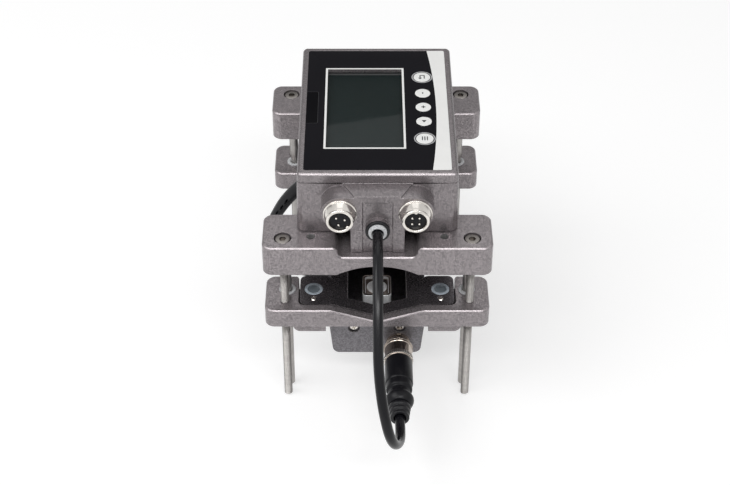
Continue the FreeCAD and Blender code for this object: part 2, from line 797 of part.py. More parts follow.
def bossed_sensor_box():
    """The sensor box with its screw bosses, clear of the coupling block and its transducer."""
    whole = joined([sensor_box()] + cover_bosses())
    holes = []
    for side in (-1, 1):
        screw = cover_screw(side * COVER_SCREW_X)
        holes += [screw, mirrored_rear(screw)]
    return without(whole, holes)


def coupling_block():
    """The square block that meets the pipe from below, with a raised rim round the transducer's face."""
    block = plan_block(BLOCK_WIDTH / 2, block_front_y, block_rear_y, block_bottom, block_top, BLOCK_CORNER)
    recess = plan_block(BLOCK_WIDTH / 2 - BLOCK_RIM, block_front_y + BLOCK_RIM, block_rear_y - BLOCK_RIM,
                        block_top - BLOCK_DISC_DEPTH, block_top, BLOCK_CORNER - BLOCK_RIM / 2)
    return block.cut(recess)


def coupling_disc():
    """The round transducer face that stands inside the coupling block's rim."""
    middle = (block_front_y + block_rear_y) / 2
    return post(0, middle, BLOCK_DISC_RADIUS, block_top - BLOCK_DISC_DEPTH, block_top)


def lower_transducer():
    """The transducer under the coupling block, standing on the sensor box's floor."""
    floor = box_bottom + BOX_WALL
    foot = box(-BLOCK_WIDTH / 4, BLOCK_WIDTH / 4, block_front_y + BLOCK_CORNER, block_rear_y - BLOCK_CORNER,
               floor, block_bottom - TRANSDUCER_HEIGHT)
    body = plan_block(BLOCK_WIDTH / 2, block_front_y + BLOCK_CORNER, block_rear_y - BLOCK_CORNER,
                      block_bottom - TRANSDUCER_HEIGHT, block_bottom, BLOCK_CORNER)
    return joined([foot, body])


def upper_pad(z0, z1):
    """A block in the housing's transducer well, near the rear."""
    rear_y = bar_inner_y - UPPER_PAD_INSET
    return plan_block(BLOCK_WIDTH / 2, rear_y - BLOCK_LENGTH, rear_y, z0, z1, BLOCK_CORNER)


def housing_shell():
    """The housing's drafted body over the bars, with a belly between them."""
    foot_end_y = housing_end_y - HOUSING_FOOT
    foot = plan_wire(housing_half - HOUSING_FOOT, -foot_end_y, foot_end_y, upper_bar_top,
                     HOUSING_CORNER - HOUSING_FOOT)
    lower = plan_wire(housing_half, -housing_end_y, housing_end_y, upper_bar_top + HOUSING_FOOT, HOUSING_CORNER)
    upper = plan_wire(parting_half, -parting_end_y, parting_end_y, parting_z, LID_CORNER)
    body = Part.makeLoft([foot, lower, upper], True, True)
    belly = box(-housing_half, housing_half, -bar_inner_y, bar_inner_y, upper_bar_bottom, upper_bar_top)
    arch = barrel(0, arch_crown - arch_radius, arch_radius, -bar_inner_y, bar_inner_y)
    return joined([body, belly.cut(arch)])


def boss_block():
    """The front boss: a flat-topped block with a round shoulder at each connector and a raised middle."""
    middle_x = CONNECTOR_X
    top_z = connector_z + CONNECTOR_BOSS_RADIUS
    rear_y = -parting_end_y + HOUSING_WALL / 2
    shoulders = profile_y([
        (-middle_x - CONNECTOR_BOSS_RADIUS, connector_z - CONNECTOR_BOSS_RADIUS, CONNECTOR_BOSS_RADIUS),
        (middle_x + CONNECTOR_BOSS_RADIUS, connector_z - CONNECTOR_BOSS_RADIUS, CONNECTOR_BOSS_RADIUS),
        (middle_x + CONNECTOR_BOSS_RADIUS, top_z, CONNECTOR_BOSS_RADIUS),
        (-middle_x - CONNECTOR_BOSS_RADIUS, top_z, CONNECTOR_BOSS_RADIUS),
    ], boss_face_y, rear_y)
    neck_rear_y = -housing_end_y + HOUSING_WALL / 2
    neck = box(-BOSS_NECK_HALF, BOSS_NECK_HALF, boss_face_y, neck_rear_y, notch_floor, connector_z)
    crest_plan = [
        Vector(-CREST_REAR_HALF, rear_y, top_z),
        Vector(CREST_REAR_HALF, rear_y, top_z),
        Vector(CREST_FRONT_HALF, boss_face_y, top_z),
        Vector(-CREST_FRONT_HALF, boss_face_y, top_z),
    ]
    crest = Part.Face(Part.makePolygon(crest_plan + crest_plan[:1])).extrude(Vector(0, 0, BOSS_CREST))
    return joined([shoulders, neck, crest])


def gland_rim():
    """The cast ring round the cable gland, standing on the boss's sunk panel."""
    return barrel(0, gland_z, GLAND_RIM_RADIUS, panel_y - GLAND_RIM, panel_y + GLAND_RIM)


def housing_base():
    """The housing's body with its front boss, screw posts, cavity and openings."""
    shell = joined([housing_shell(), boss_block()])
    cavity = plan_block(cavity_half, -cavity_end_y, cavity_end_y, cavity_floor, parting_z,
                        HOUSING_CORNER - HOUSING_WALL / 2)
    for x, y in corners_of(post_x, post_y):
        cavity = cavity.cut(post(x, y, POST_RADIUS, cavity_floor, parting_z))
    for x, y in corners_of(BOARD_POST_X, BOARD_POST_Y):
        cavity = cavity.cut(post(x, y, BOARD_POST_RADIUS, cavity_floor, board_z))
    panel = box(-PANEL_HALF, PANEL_HALF, boss_face_y, panel_y, notch_floor, boss_top - PANEL_DROP)
    shell = without(shell, [cavity, panel])
    shell = joined([shell, gland_rim()])
    tools = [
        lid_seal(),
        upper_pad(upper_bar_bottom, cavity_floor),
        barrel(0, gland_z, GLAND_SEAL_RADIUS, boss_face_y - GLAND_RIM, boss_face_y + GLAND_DEPTH),
        barrel(0, gland_z, CABLE_RADIUS, boss_face_y, -cavity_end_y),
    ]
    for side in (-1, 1):
        x = side * CONNECTOR_X
        tools.append(barrel(x, connector_z, CONNECTOR_TAIL_RADIUS, boss_face_y, -cavity_end_y))
    for x, y in corners_of(post_x, post_y):
        tools.append(lid_screw(x, y))
        tools.append(bar_screw(x, y))
    return without(shell, tools)


def lid_seal():
    """The rubber ring in the housing's rim."""
    outer = SEAL_WIDTH / 2 - HOUSING_WALL / 2
    inner = -SEAL_WIDTH / 2 - HOUSING_WALL / 2
    ring = plan_block(parting_half + outer, -parting_end_y - outer, parting_end_y + outer,
                      parting_z - SEAL_DEPTH, parting_z, HOUSING_CORNER + outer)
    hole = plan_block(parting_half + inner, -parting_end_y - inner, parting_end_y + inner,
                      parting_z - SEAL_DEPTH, parting_z, HOUSING_CORNER + inner)
    return ring.cut(hole)


def lid_screw(x, y):
    """A countersunk screw under the overlay, down into a corner post."""
    cone = LID_SCREW_HEAD - LID_SCREW_RADIUS
    outline = [
        (overlay_bottom, 0),
        (overlay_bottom, LID_SCREW_HEAD),
        (overlay_bottom - cone, LID_SCREW_RADIUS),
        (overlay_bottom - LID_SCREW_LENGTH, LID_SCREW_RADIUS),
        (overlay_bottom - LID_SCREW_LENGTH, 0),
    ]
    return turned_z(x, y, outline)


def display_plan(margin, z0, z1):
    """A rounded block over the display, widened by a margin."""
    block = plan_block(DISPLAY_WIDTH / 2 + margin, DISPLAY_Y - DISPLAY_LENGTH / 2 - margin,
                       DISPLAY_Y + DISPLAY_LENGTH / 2 + margin, z0, z1, DISPLAY_CORNER + margin / 2)
    block.translate(Vector(DISPLAY_X, 0, 0))
    return block


def key_places():
    """Each key's name, place along the pipe and radius, from the front."""
    return [
        ("key_menu", DISPLAY_Y - KEY_END_PITCH, END_KEY_RADIUS),
        ("key_left", DISPLAY_Y - KEY_PITCH, KEY_RADIUS),
        ("key_plus", DISPLAY_Y, KEY_RADIUS),
        ("key_minus", DISPLAY_Y + KEY_PITCH, KEY_RADIUS),
        ("key_back", DISPLAY_Y + KEY_END_PITCH, END_KEY_RADIUS),
    ]


def housing_lid():
    """The lid: a rounded frame with a sunk face for the overlay, a display opening and key holes."""
    lid = plan_block(lid_half, -lid_end_y, lid_end_y, parting_z, lid_top, LID_CORNER)
    lid = lid.makeChamfer(LID_EDGE, [e for e in lid.Edges if all_at(e, 2, [lid_top])])
    tools = [
        plan_block(cavity_half, -cavity_end_y, cavity_end_y, parting_z, plate_bottom, HOUSING_CORNER),
        plan_block(overlay_half, -overlay_end_y, overlay_end_y, overlay_bottom, lid_top, OVERLAY_CORNER),
        display_plan(0, parting_z, lid_top),
        display_plan(WINDOW_LEDGE, parting_z, glass_top),
    ]
    for name, y, radius in key_places():
        tools.append(post(KEY_X, y, radius + RUNNING_CLEARANCE, parting_z, lid_top))
    for x, y in corners_of(post_x, post_y):
        tools.append(lid_screw(x, y))
    lid = without(lid, tools)
    columns = []
    for x, y in corners_of(post_x, post_y):
        column = post(x, y, POST_RADIUS, parting_z, plate_bottom)
        columns.append(column.cut(lid_screw(x, y)))
    return joined([lid] + columns)


def keypad_overlay():
    """The face film, cut out over the display and the keys."""
    film = plan_block(overlay_half, -overlay_end_y, overlay_end_y, overlay_bottom, overlay_top,
                      OVERLAY_CORNER)
    tools = [display_plan(0, overlay_bottom, overlay_top)]
    for name, y, radius in key_places():
        tools.append(post(KEY_X, y, radius + RUNNING_CLEARANCE, overlay_bottom, overlay_top))
    return without(film, tools)


def key(y, radius):
    """One round key, with an eased rim."""
    top = overlay_top + KEY_PROUD
    bottom = plate_bottom + KEY_GAP
    outline = [
        (bottom, 0),
        (bottom, radius),
        (top - KEY_PROUD, radius),
        (top, radius - KEY_PROUD),
        (top, 0),
    ]
    return turned_z(KEY_X, y, outline)


def display_window():
    """The clear window under the lid's display opening."""
    return display_plan(WINDOW_LEDGE, plate_bottom, glass_top)


def lcd_module():
    """The display module under the window, against the lid."""
    return display_plan(LCD_MARGIN, plate_bottom - LCD_HEIGHT, plate_bottom)


def key_board():
    """The strip of circuit board under the keys, against the lid."""
    inner = DISPLAY_X + DISPLAY_WIDTH / 2 + LCD_MARGIN + KEY_BOARD_GAP
    middle = DISPLAY_Y
    return box(inner, inner + KEY_BOARD_WIDTH, middle - KEY_BOARD_LENGTH / 2, middle + KEY_BOARD_LENGTH / 2,
               plate_bottom - BOARD_THICKNESS, plate_bottom)


def main_board():
    """The main circuit board on its posts, notched clear of the lid's corner posts."""
    half_x = post_x - POST_RADIUS - BOARD_MARGIN / 2
    return plan_block(half_x, -cavity_end_y + BOARD_MARGIN, cavity_end_y - BOARD_MARGIN,
                      board_z, board_z + BOARD_THICKNESS, BOARD_MARGIN)


def connector_key(x, angle):
    """The rib inside a connector's mouth that keys its plug."""
    turn = math.radians(angle)
    reach = CONNECTOR_BORE_RADIUS
    return barrel(x + reach * math.cos(turn), connector_z + reach * math.sin(turn), CONNECTOR_KEY_RADIUS,
                  connector_face_y + PIN_SINK, boss_face_y)


def connector_shell(x, key_angle):
    """A plated round panel connector: flange, barrel and tail, with a key rib in its mouth."""
    flange_y = boss_face_y - CONNECTOR_FLANGE
    outline = [
        (connector_face_y, CONNECTOR_BORE_RADIUS),
        (connector_face_y, CONNECTOR_RADIUS),
        (flange_y, CONNECTOR_RADIUS),
        (flange_y, CONNECTOR_FLANGE_RADIUS),
        (boss_face_y, CONNECTOR_FLANGE_RADIUS),
        (boss_face_y, CONNECTOR_TAIL_RADIUS),
        (-cavity_end_y, CONNECTOR_TAIL_RADIUS),
        (-cavity_end_y, CONNECTOR_BORE_RADIUS),
    ]
    shell = turned_y(x, connector_z, outline)
    inside = barrel(x, connector_z, CONNECTOR_RADIUS - PIN_SINK, connector_face_y, -cavity_end_y)
    return joined([shell, connector_key(x, key_angle).common(inside)])


def connector_pins(x, count, first_angle):
    """The contact pins of a connector."""
    pins = []
    for i in range(count):
        turn = math.radians(first_angle + 360 * i / count)
        pin_x = x + PIN_CIRCLE * math.cos(turn)
        pin_z = connector_z + PIN_CIRCLE * math.sin(turn)
        start = connector_face_y + PIN_SINK
        pins.append(barrel(pin_x, pin_z, PIN_RADIUS, start, start + PIN_LENGTH))
    return pins


def connector_insert(x, count, first_angle, key_angle):
    """The insulating insert that holds the pins."""
    insert = barrel(x, connector_z, CONNECTOR_BORE_RADIUS, connector_face_y + INSERT_SINK, -cavity_end_y)
    return without(insert, connector_pins(x, count, first_angle) + [connector_key(x, key_angle)])


def gland_seal():
    """The rubber ring of the cable gland, with a lip over the cast rim."""
    front = boss_face_y - GLAND_SEAL_REACH
    rear = boss_face_y + GLAND_DEPTH
    ring = barrel(0, gland_z, GLAND_SEAL_RADIUS, front, rear)
    lip = barrel(0, gland_z, GLAND_LIP_RADIUS, front, panel_y - GLAND_RIM)
    return joined([ring, lip]).cut(barrel(0, gland_z, GLAND_SLEEVE_RADIUS, front, rear))


def gland_sleeve():
    """The hard sleeve inside the gland's rubber, round the cable."""
    front = boss_face_y - GLAND_SLEEVE_REACH
    rear = boss_face_y + GLAND_DEPTH
    sleeve = barrel(0, gland_z, GLAND_SLEEVE_RADIUS, front, rear)
    return sleeve.cut(barrel(0, gland_z, CABLE_RADIUS, front, rear))


def sensor_socket():
    """The round panel socket on the front cover: flange outside, neck through the cover."""
    outline = [
        (box_front_y - SOCKET_REACH, 0),
        (box_front_y - SOCKET_REACH, SOCKET_RADIUS),
        (box_front_y, SOCKET_RADIUS),
        (box_front_y, SOCKET_NECK_RADIUS),
        (box_front_y + BOX_COVER, SOCKET_NECK_RADIUS),
        (box_front_y + BOX_COVER, 0),
    ]
    spigot = barrel(PLUG_X, plug_z, SOCKET_NECK_RADIUS, plug_join_y, box_front_y)
    return joined([turned_y(PLUG_X, plug_z, outline), spigot])


def coupling_nut():
    """The nut that turns on the plug: a rear collar, a smooth barrel and a toothed front rim."""
    bore = SOCKET_NECK_RADIUS + RUNNING_CLEARANCE
    rear_y = nut_front_y + NUT_LENGTH
    outline = [
        (nut_front_y, bore),
        (nut_front_y, NUT_RIM_RADIUS),
        (nut_front_y + NUT_RIM, NUT_RIM_RADIUS),
        (nut_front_y + NUT_RIM, NUT_RADIUS),
        (rear_y - NUT_COLLAR, NUT_RADIUS),
        (rear_y - NUT_COLLAR, NUT_RIM_RADIUS),
        (rear_y - NUT_COLLAR / 2, NUT_RIM_RADIUS),
        (rear_y, NUT_RADIUS),
        (rear_y, bore),
    ]
    teeth = []
    for i in range(NUT_TEETH):
        turn = 2 * math.pi * i / NUT_TEETH
        x = PLUG_X + NUT_RIM_RADIUS * math.cos(turn)
        z = plug_z + NUT_RIM_RADIUS * math.sin(turn)
        teeth.append(barrel(x, z, NUT_TOOTH, nut_front_y, nut_front_y + NUT_RIM))
    return turned_y(PLUG_X, plug_z, outline).cut(group(teeth))


def plug_body():
    """The moulded plug: a spigot inside the nut, a straight grip, a band, a waist and a domed collar."""
    outline = [
        (plug_join_y, 0),
        (plug_join_y, SOCKET_NECK_RADIUS),
        (nut_front_y - RUNNING_CLEARANCE, SOCKET_NECK_RADIUS),
        (nut_front_y - RUNNING_CLEARANCE, PLUG_BODY_RADIUS),
        (plug_body_end_y, PLUG_BODY_RADIUS),
        (plug_body_end_y, PLUG_BAND_RADIUS),
        (band_end_y, PLUG_BAND_RADIUS),
        (band_end_y, PLUG_WAIST_RADIUS),
        (collar_start_y, PLUG_WAIST_RADIUS),
        (collar_start_y - PLUG_COLLAR_EASE, PLUG_COLLAR_RADIUS),
        (collar_end_y + PLUG_COLLAR_EASE, PLUG_COLLAR_RADIUS),
        (collar_end_y, BOOT_RADIUS),
        (collar_end_y, 0),
    ]
    return turned_y(PLUG_X, plug_z, outline)


def plug_boot():
    """The ribbed, tapered boot at the plug's end, with an open mouth round the cable."""
    pitch = BOOT_LENGTH / (BOOT_RIBS + 1)
    outline = [(collar_end_y, 0), (collar_end_y, BOOT_RADIUS - BOOT_GROOVE)]
    for i in range(BOOT_RIBS + 1):
        start = collar_end_y - pitch * i
        radius = BOOT_RADIUS + (BOOT_TIP_RADIUS - BOOT_RADIUS) * i / BOOT_RIBS
        outline.append((start - BOOT_GROOVE_WIDTH, radius - BOOT_GROOVE))
        outline.append((start - BOOT_GROOVE_WIDTH - BOOT_SLOPE, radius))
        outline.append((start - pitch + BOOT_SLOPE, radius))
        outline.append((start - pitch, radius - BOOT_GROOVE))
    outline.append((boot_tip_y, 0))
    mouth = barrel(PLUG_X, plug_z, BOOT_MOUTH_RADIUS, boot_tip_y, boot_tip_y + BOOT_MOUTH_DEPTH)
    return turned_y(PLUG_X, plug_z, outline).cut(mouth)


def cord_path(points):
    """Straight runs joined by tangent arcs, each as large as its two runs allow, and the arcs' radii."""
    route = [Vector(*point) for point in points]
    edges = []
    radii = []
    at = route[0]
    for i in range(1, len(route) - 1):
        before = route[i - 1] - route[i]
        after = route[i + 1] - route[i]
        shorter = min(before.Length, after.Length)
        reach = 0.45 * shorter
        before.normalize()
        after.normalize()
        half = before.getAngle(after) / 2
        radius = reach * math.tan(half)
        radii.append(round(radius, 1))
        bisector = (before + after).normalize()
        centre = route[i] + bisector * (radius / math.sin(half))
        start = route[i] + before * reach
        edges.append(Part.LineSegment(at, start).toShape())
        at = route[i] + after * reach
        edges.append(Part.Arc(start, centre - bisector * radius, at).toShape())
    edges.append(Part.LineSegment(at, route[-1]).toShape())
    return Part.Wire(edges), radii


def cord_tube(name, points, radius):
    """A round cord along a route."""
    path, radii = cord_path(points)
    start = Vector(*points[0])
    heading = Vector(*points[1]) - start
    section = Part.Wire(Part.Circle(start, heading, radius).toShape())
    tube = path.makePipeShell([section], True, True)
    share = tube.Volume / (math.pi * radius ** 2 * path.Length)
    print(name, "length", round(path.Length, 1), "radii", radii, "volume share", round(share, 4))
    return tube


def upper_relief():
    """The tapered strain relief where the jumper leaves the housing's side, bent down."""
    tip = Vector(*JUMPER_ROUTE[0])
    root = Vector(-housing_half, tip.y, RELIEF_Z)
    outwards = (tip - root).cross(Vector(0, 1, 0)).normalize()
    curve = Part.Arc(root, (root + tip) / 2 + outwards * RELIEF_BULGE, tip).toShape()
    heading = curve.tangentAt(curve.FirstParameter)
    first = Part.Circle(root - heading * RELIEF_RADIUS, heading, RELIEF_RADIUS)
    rings = [Part.Wire(first.toShape())]
    for i in range(RELIEF_STATIONS):
        share = i / (RELIEF_STATIONS - 1)
        parameter = curve.FirstParameter + share * (curve.LastParameter - curve.FirstParameter)
        radius = RELIEF_RADIUS + (JUMPER_RADIUS + RELIEF_WALL - RELIEF_RADIUS) * share
        ring = Part.Circle(curve.valueAt(parameter), curve.tangentAt(parameter), radius)
        rings.append(Part.Wire(ring.toShape()))
    relief = Part.makeLoft(rings, True)
    inside = box(-housing_half, 0, -bar_inner_y, bar_inner_y, upper_bar_bottom, upper_bar_top)
    return relief.cut(inside)


def lower_relief():
    """The short tapered grommet where the jumper enters the sensor box."""
    end_x, end_y, end_z = JUMPER_ROUTE[-1]
    cone = Part.makeCone(JUMPER_RADIUS + RELIEF_WALL, RELIEF_RADIUS, -box_bottom_half - end_x,
                         Vector(end_x, end_y, end_z), Vector(1, 0, 0))
    return cone.cut(box_section(0, box_front_y, -box_front_y))


def pieces():
    """Every node's name and shape."""
    front_upper = upper_bar()
    front_lower = lower_bar()
    screw = [cover_screw(side * COVER_SCREW_X) for side in (-1, 1)]
    jumper = cord_tube("jumper_cable", JUMPER_ROUTE, JUMPER_RADIUS)
    nodes = {
        "front_upper_bar": front_upper,
        "rear_upper_bar": mirrored_rear(front_upper),
        "front_lower_bar": front_lower,
        "rear_lower_bar": mirrored_rear(front_lower),
        "guide_rods": group([guide_rod(x, y) for x, y in corners_of(rod_x, rod_y)]),
        "guide_bushings": group([guide_bushing(x, y) for x, y in corners_of(rod_x, rod_y)]),
        "clamp_screw_front_left": clamp_screw(-leg_x, -screw_y),
        "clamp_screw_front_right": clamp_screw(leg_x, -screw_y),
        "clamp_screw_rear_left": clamp_screw(-leg_x, screw_y),
        "clamp_screw_rear_right": clamp_screw(leg_x, screw_y),
        "bar_screws": group([bar_screw(x, y) for x, y in corners_of(post_x, post_y)]),
        "cradle": cradle(),
        "ear_screws": group([ear_screw(x, y) for x, y in corners_of(ear_cap_x, ear_cap_y)]),
        "ear_caps": group([ear_cap(x, y) for x, y in corners_of(ear_cap_x, ear_cap_y)]),
        "ear_pins": group([ear_pin(x, y) for x, y in corners_of(ear_cap_x, ear_pin_y)]),
        "sensor_box": bossed_sensor_box(),
        "sensor_box_front_cover": front_cover(),
        "sensor_box_rear_cover": rear_cover(),
        "cover_screws": group(screw + [mirrored_rear(s) for s in screw]),
        "box_screws": group([box_screw(x, y) for x, y in corners_of(box_screw_x, box_screw_y)]),
        "coupling_block": coupling_block(),
        "transducer_face": coupling_disc(),
        "lower_transducer": lower_transducer(),
        "upper_coupling_pad": upper_pad(upper_pad_bottom, upper_pad_top),
        "upper_transducer": upper_pad(upper_pad_top, upper_pad_top + TRANSDUCER_HEIGHT),
        "housing_base": housing_base(),
        "housing_lid": housing_lid(),
        "lid_seal": lid_seal(),
        "lid_screws": group([lid_screw(x, y) for x, y in corners_of(post_x, post_y)]),
        "keypad_overlay": keypad_overlay(),
        "display_window": display_window(),
        "lcd_module": lcd_module(),
        "key_board": key_board(),
        "main_board": main_board(),
        "connector_3pin_shell": connector_shell(-CONNECTOR_X, -45),
        "connector_3pin_insert": connector_insert(-CONNECTOR_X, 3, 135, -45),
        "connector_3pin_pins": group(connector_pins(-CONNECTOR_X, 3, 135)),
        "connector_4pin_shell": connector_shell(CONNECTOR_X, 90),
        "connector_4pin_insert": connector_insert(CONNECTOR_X, 4, 45, 90),
        "connector_4pin_pins": group(connector_pins(CONNECTOR_X, 4, 45)),
        "gland_seal": gland_seal(),
        "gland_sleeve": gland_sleeve(),
        "sensor_cable": cord_tube("sensor_cable", CABLE_ROUTE, CABLE_RADIUS),
        "sensor_socket": sensor_socket(),
        "coupling_nut": coupling_nut(),
        "plug_body": plug_body(),
        "plug_boot": plug_boot(),
        "jumper_upper_relief": upper_relief().cut(jumper),
        "jumper_cable": jumper,
        "jumper_lower_relief": lower_relief(),
    }
    for name, y, radius in key_places():
        nodes[name] = key(y, radius)
    return nodes


def main():
    os.makedirs("parts", exist_ok=True)
    for name, shape in pieces().items():
        placed = shape.copy()
        placed.translate(Vector(0, -origin_y, 0))
        placed.exportStep("parts/" + name + ".step")
        volume = round(placed.Volume, 1)
        print(name, "valid", placed.isValid(), "solids", len(placed.Solids), "volume", volume)


main()
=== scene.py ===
"""Looks of the clamp-on ultrasonic flow meter: finishes, threads, print, cables and the studio stage."""

import json
import math

import bmesh
import bpy
from bpy.props import FloatProperty, FloatVectorProperty, IntProperty, PointerProperty
from mathutils import Matrix, Vector


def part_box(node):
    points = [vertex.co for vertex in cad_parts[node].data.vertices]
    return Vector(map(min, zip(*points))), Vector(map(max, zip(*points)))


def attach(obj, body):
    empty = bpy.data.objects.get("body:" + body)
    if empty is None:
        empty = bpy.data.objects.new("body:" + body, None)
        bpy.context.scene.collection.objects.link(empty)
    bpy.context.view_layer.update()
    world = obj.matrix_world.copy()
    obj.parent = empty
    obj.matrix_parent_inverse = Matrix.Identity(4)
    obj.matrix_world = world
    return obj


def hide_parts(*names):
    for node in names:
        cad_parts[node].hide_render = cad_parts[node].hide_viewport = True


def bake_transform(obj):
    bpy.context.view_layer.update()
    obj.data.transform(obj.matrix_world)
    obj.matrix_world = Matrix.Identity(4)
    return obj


bl_info = {
    "name": "Clamp-on Flow Meter",
    "version": (1, 0, 0),
    "blender": (4, 5, 0),
    "location": "View3D > Sidebar > Flow Meter",
    "description": "Dresses the packed flow meter with its finishes and stages it",
    "category": "Object",
}

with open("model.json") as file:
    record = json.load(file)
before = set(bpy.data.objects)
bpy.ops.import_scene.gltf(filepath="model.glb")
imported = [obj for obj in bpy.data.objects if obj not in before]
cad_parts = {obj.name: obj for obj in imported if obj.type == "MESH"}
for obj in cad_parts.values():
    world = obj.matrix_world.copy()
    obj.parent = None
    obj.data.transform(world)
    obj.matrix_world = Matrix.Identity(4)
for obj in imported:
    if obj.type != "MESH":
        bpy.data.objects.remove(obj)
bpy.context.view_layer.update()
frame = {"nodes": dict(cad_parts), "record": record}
BODY_OF = {node: body for body, nodes in frame["record"]["behaviour"]["bodies"].items() for node in nodes}

# Shapes are given in millimetres, and their meshes are in metres
MM = 0.001
# Distances in metres at which points count as one
NEAR = 1e-6
FACET_NEAR = 2e-6
ON_PLANE = 1e-7
# Turns a form about Z to face the front
FORWARD = Matrix.Rotation(math.radians(90), 4, "X")
# Room between shader nodes, which stand in a row left of the shader
NODE_STEP = 220
NODE_ROOM = 14

# The cables' routes, from the housing down to the sensor box, and the strain relief at the jumper's start
CABLE_ROUTE = [
    (0.0, -62.9, 108.0), (0.0, -75.7, 108.0), (0.0, -88.7, 103.8), (0.0, -100.2, 95.6),
    (0.0, -110.7, 84.8), (0.2, -120.5, 73.0), (1.8, -128.6, 60.3), (4.2, -133.1, 49.2),
    (5.8, -133.1, 42.7), (7.6, -130.5, 36.5), (9.4, -125.7, 31.9), (10.5, -120.0, 29.6),
    (10.6, -113.9, 29.2), (10.5, -107.9, 29.6), (10.5, -102.0, 29.6),
]
JUMPER_ROUTE = [
    (-50.2, -13.7, 76.5), (-53.0, -13.7, 68.8), (-53.0, -13.7, 58.0), (-49.2, -13.7, 49.6),
    (-42.2, -13.7, 43.4), (-35.0, -13.7, 40.0), (-28.5, -13.7, 40.0),
]
RELIEF_ROUTE = [
    (-35.2, -13.7, 97.2), (-39.4, -13.7, 93.0), (-43.5, -13.7, 88.0), (-47.1, -13.7, 82.6),
    (-50.2, -13.7, 76.5),
]

# Hammered paints: material, colour setting and share for the ground, the same for the flecks,
# fleck size, contrast, roughness of flecks and of ground, metallic, depth of the dimples
PAINTS = {
    "casting": ("Hammered casting paint", "paint_dark", 1.0, "paint_light", 1.0,
                0.5, 1.8, 0.25, 0.35, 0.62, 0.01),
    "casting_edge": ("Casting edge paint", "paint_dark", 1.05, "paint_light", 1.05,
                     0.5, 0.3, 0.27, 0.31, 0.62, 0.01),
    "housing": ("Hammered housing paint", "paint_dark", 0.86, "paint_light", 0.86,
                0.5, 1.5, 0.22, 0.32, 0.62, 0.01),
    "housing_edge": ("Housing edge paint", "paint_dark", 0.86, "paint_light", 0.86,
                     0.5, 0.3, 0.25, 0.29, 0.62, 0.01),
    # The cradle's paint is the bars' paint darkened as painted shade, for the shade and dark reflections
    # under the upper bar
    "cradle": ("Dark cradle paint", "cradle_paint", 0.75, "cradle_paint", 1.25,
               0.6, 1.6, 0.26, 0.36, 0.8, 0.02),
    # The cradle's edges are painted lighter: a painted highlight along the bevels
    "rubbed": ("Rubbed cradle edges", "rubbed", 0.85, "rubbed", 1.15,
               0.6, 1.0, 0.26, 0.32, 0.9, 0.01),
    "box": ("Satin box paint", "box_paint", 0.75, "box_paint", 1.25,
            0.6, 1.6, 0.38, 0.5, 0.7, 0.02),
}
# Plain surfaces: material, colour setting, lowest and highest roughness, metallic, specular level, coat,
# size of the grain and of the smudges, stretch of both along Z, relief, shift of the colour in the smudges
PLAIN = {
    "steel": ("Stainless steel", "steel", 0.34, 0.44, 0.75, 0.5, 0, 0.12, 12, 6, 0.002, 0.12),
    "rod_steel": ("Ground rod steel", "steel", 0.32, 0.42, 0.85, 0.5, 0, 0.1, 15, 9, 0.002, 0.12),
    # The screw heads' steel is darkened as painted shade, for the dark surroundings their tops reflect
    "head_steel": ("Screw head steel", "screw_head", 0.26, 0.36, 1, 0.5, 0, 0.2, 5, 1, 0.006, 0.12),
    "bored": ("Bored metal", "bored", 0.34, 0.44, 0.75, 0.5, 0, 0.15, 4, 5, 0.006, 0.12),
    "nickel": ("Nickel plate", "nickel", 0.15, 0.21, 1, 0.5, 0, 0.4, 6, 1, 0.0002, 0.12),
    # Nickel darkened and browned as painted shade, for the dark underside it reflects
    "dark_nickel": ("Dark nickel plate", "dark_nickel", 0.12, 0.2, 1, 0.5, 0, 0.4, 6, 1, 0.0005, 0.12),
    "coupling": ("Coupling metal", "coupling", 0.2, 0.32, 0.2, 0.5, 0.3, 0.3, 5, 1, 0.003, 0.08),
    "black_plastic": ("Black moulded plastic", "black_plastic",
                      0.26, 0.36, 0, 0.2, 0, 0.25, 8, 1, 0.01, 0.12),
    "rubber": ("Black rubber", "rubber", 0.3, 0.42, 0, 0.35, 0, 0.3, 10, 1, 0.01, 0.12),
    "jacket": ("Cable jacket", "rubber", 0.17, 0.24, 0, 0.27, 0, 0.35, 14, 1, 0.002, 0.12),
    "light_plastic": ("Light plastic", "light_plastic", 0.24, 0.34, 0, 0.5, 0, 0.2, 9, 1, 0.01, 0.04),
    "cap": ("Cap plastic", "cap", 0.34, 0.46, 0, 0.5, 0, 0.2, 9, 1, 0.01, 0.08),
    # The caps' dish plastic is darkened as painted shade in the recess
    "cap_dish": ("Cap dish plastic", "cap_dish", 0.36, 0.48, 0, 0.5, 0, 0.2, 9, 1, 0.01, 0.08),
    "film": ("Face film", "film", 0.4, 0.52, 0, 0.06, 0, 0.18, 30, 1, 0.006, 0.12),
    "tab_film": ("Tab window film", "tab_film", 0.08, 0.14, 0, 0.05, 0, 0.2, 20, 1, 0.001, 0.12),
    "print_white": ("White print", "print_white", 0.36, 0.46, 0, 0.5, 0, 0.2, 9, 1, 0.004, 0.02),
    "print_grey": ("Grey print", "print_grey", 0.38, 0.48, 0, 0.5, 0, 0.2, 9, 1, 0.004, 0.03),
    "print_dark": ("Symbol print", "print_dark", 0.42, 0.52, 0, 0.5, 0, 0.2, 9, 1, 0.004, 0.05),
    # A grey print that stands in for the lit rear wall of the display recess: painted light
    "bezel": ("Bezel print", "bezel", 0.3, 0.4, 0, 0.5, 0, 0.2, 9, 1, 0.004, 0.05),
    "board": ("Board solder mask", "board", 0.28, 0.4, 0, 0.5, 0, 0.2, 2, 1, 0.01, 0.25),
    "display": ("Display panel", "display", 0.3, 0.36, 0, 0.5, 0, 0.15, 25, 1, 0.01, 0.1),
}
# Glass: material, colour setting, lowest and highest roughness, size of the grain and of the smudges,
# alpha, index of refraction
GLASS = {"glass": ("Display window glass", "glass", 0.01, 0.04, 0.5, 18, 0.42, 1.55)}


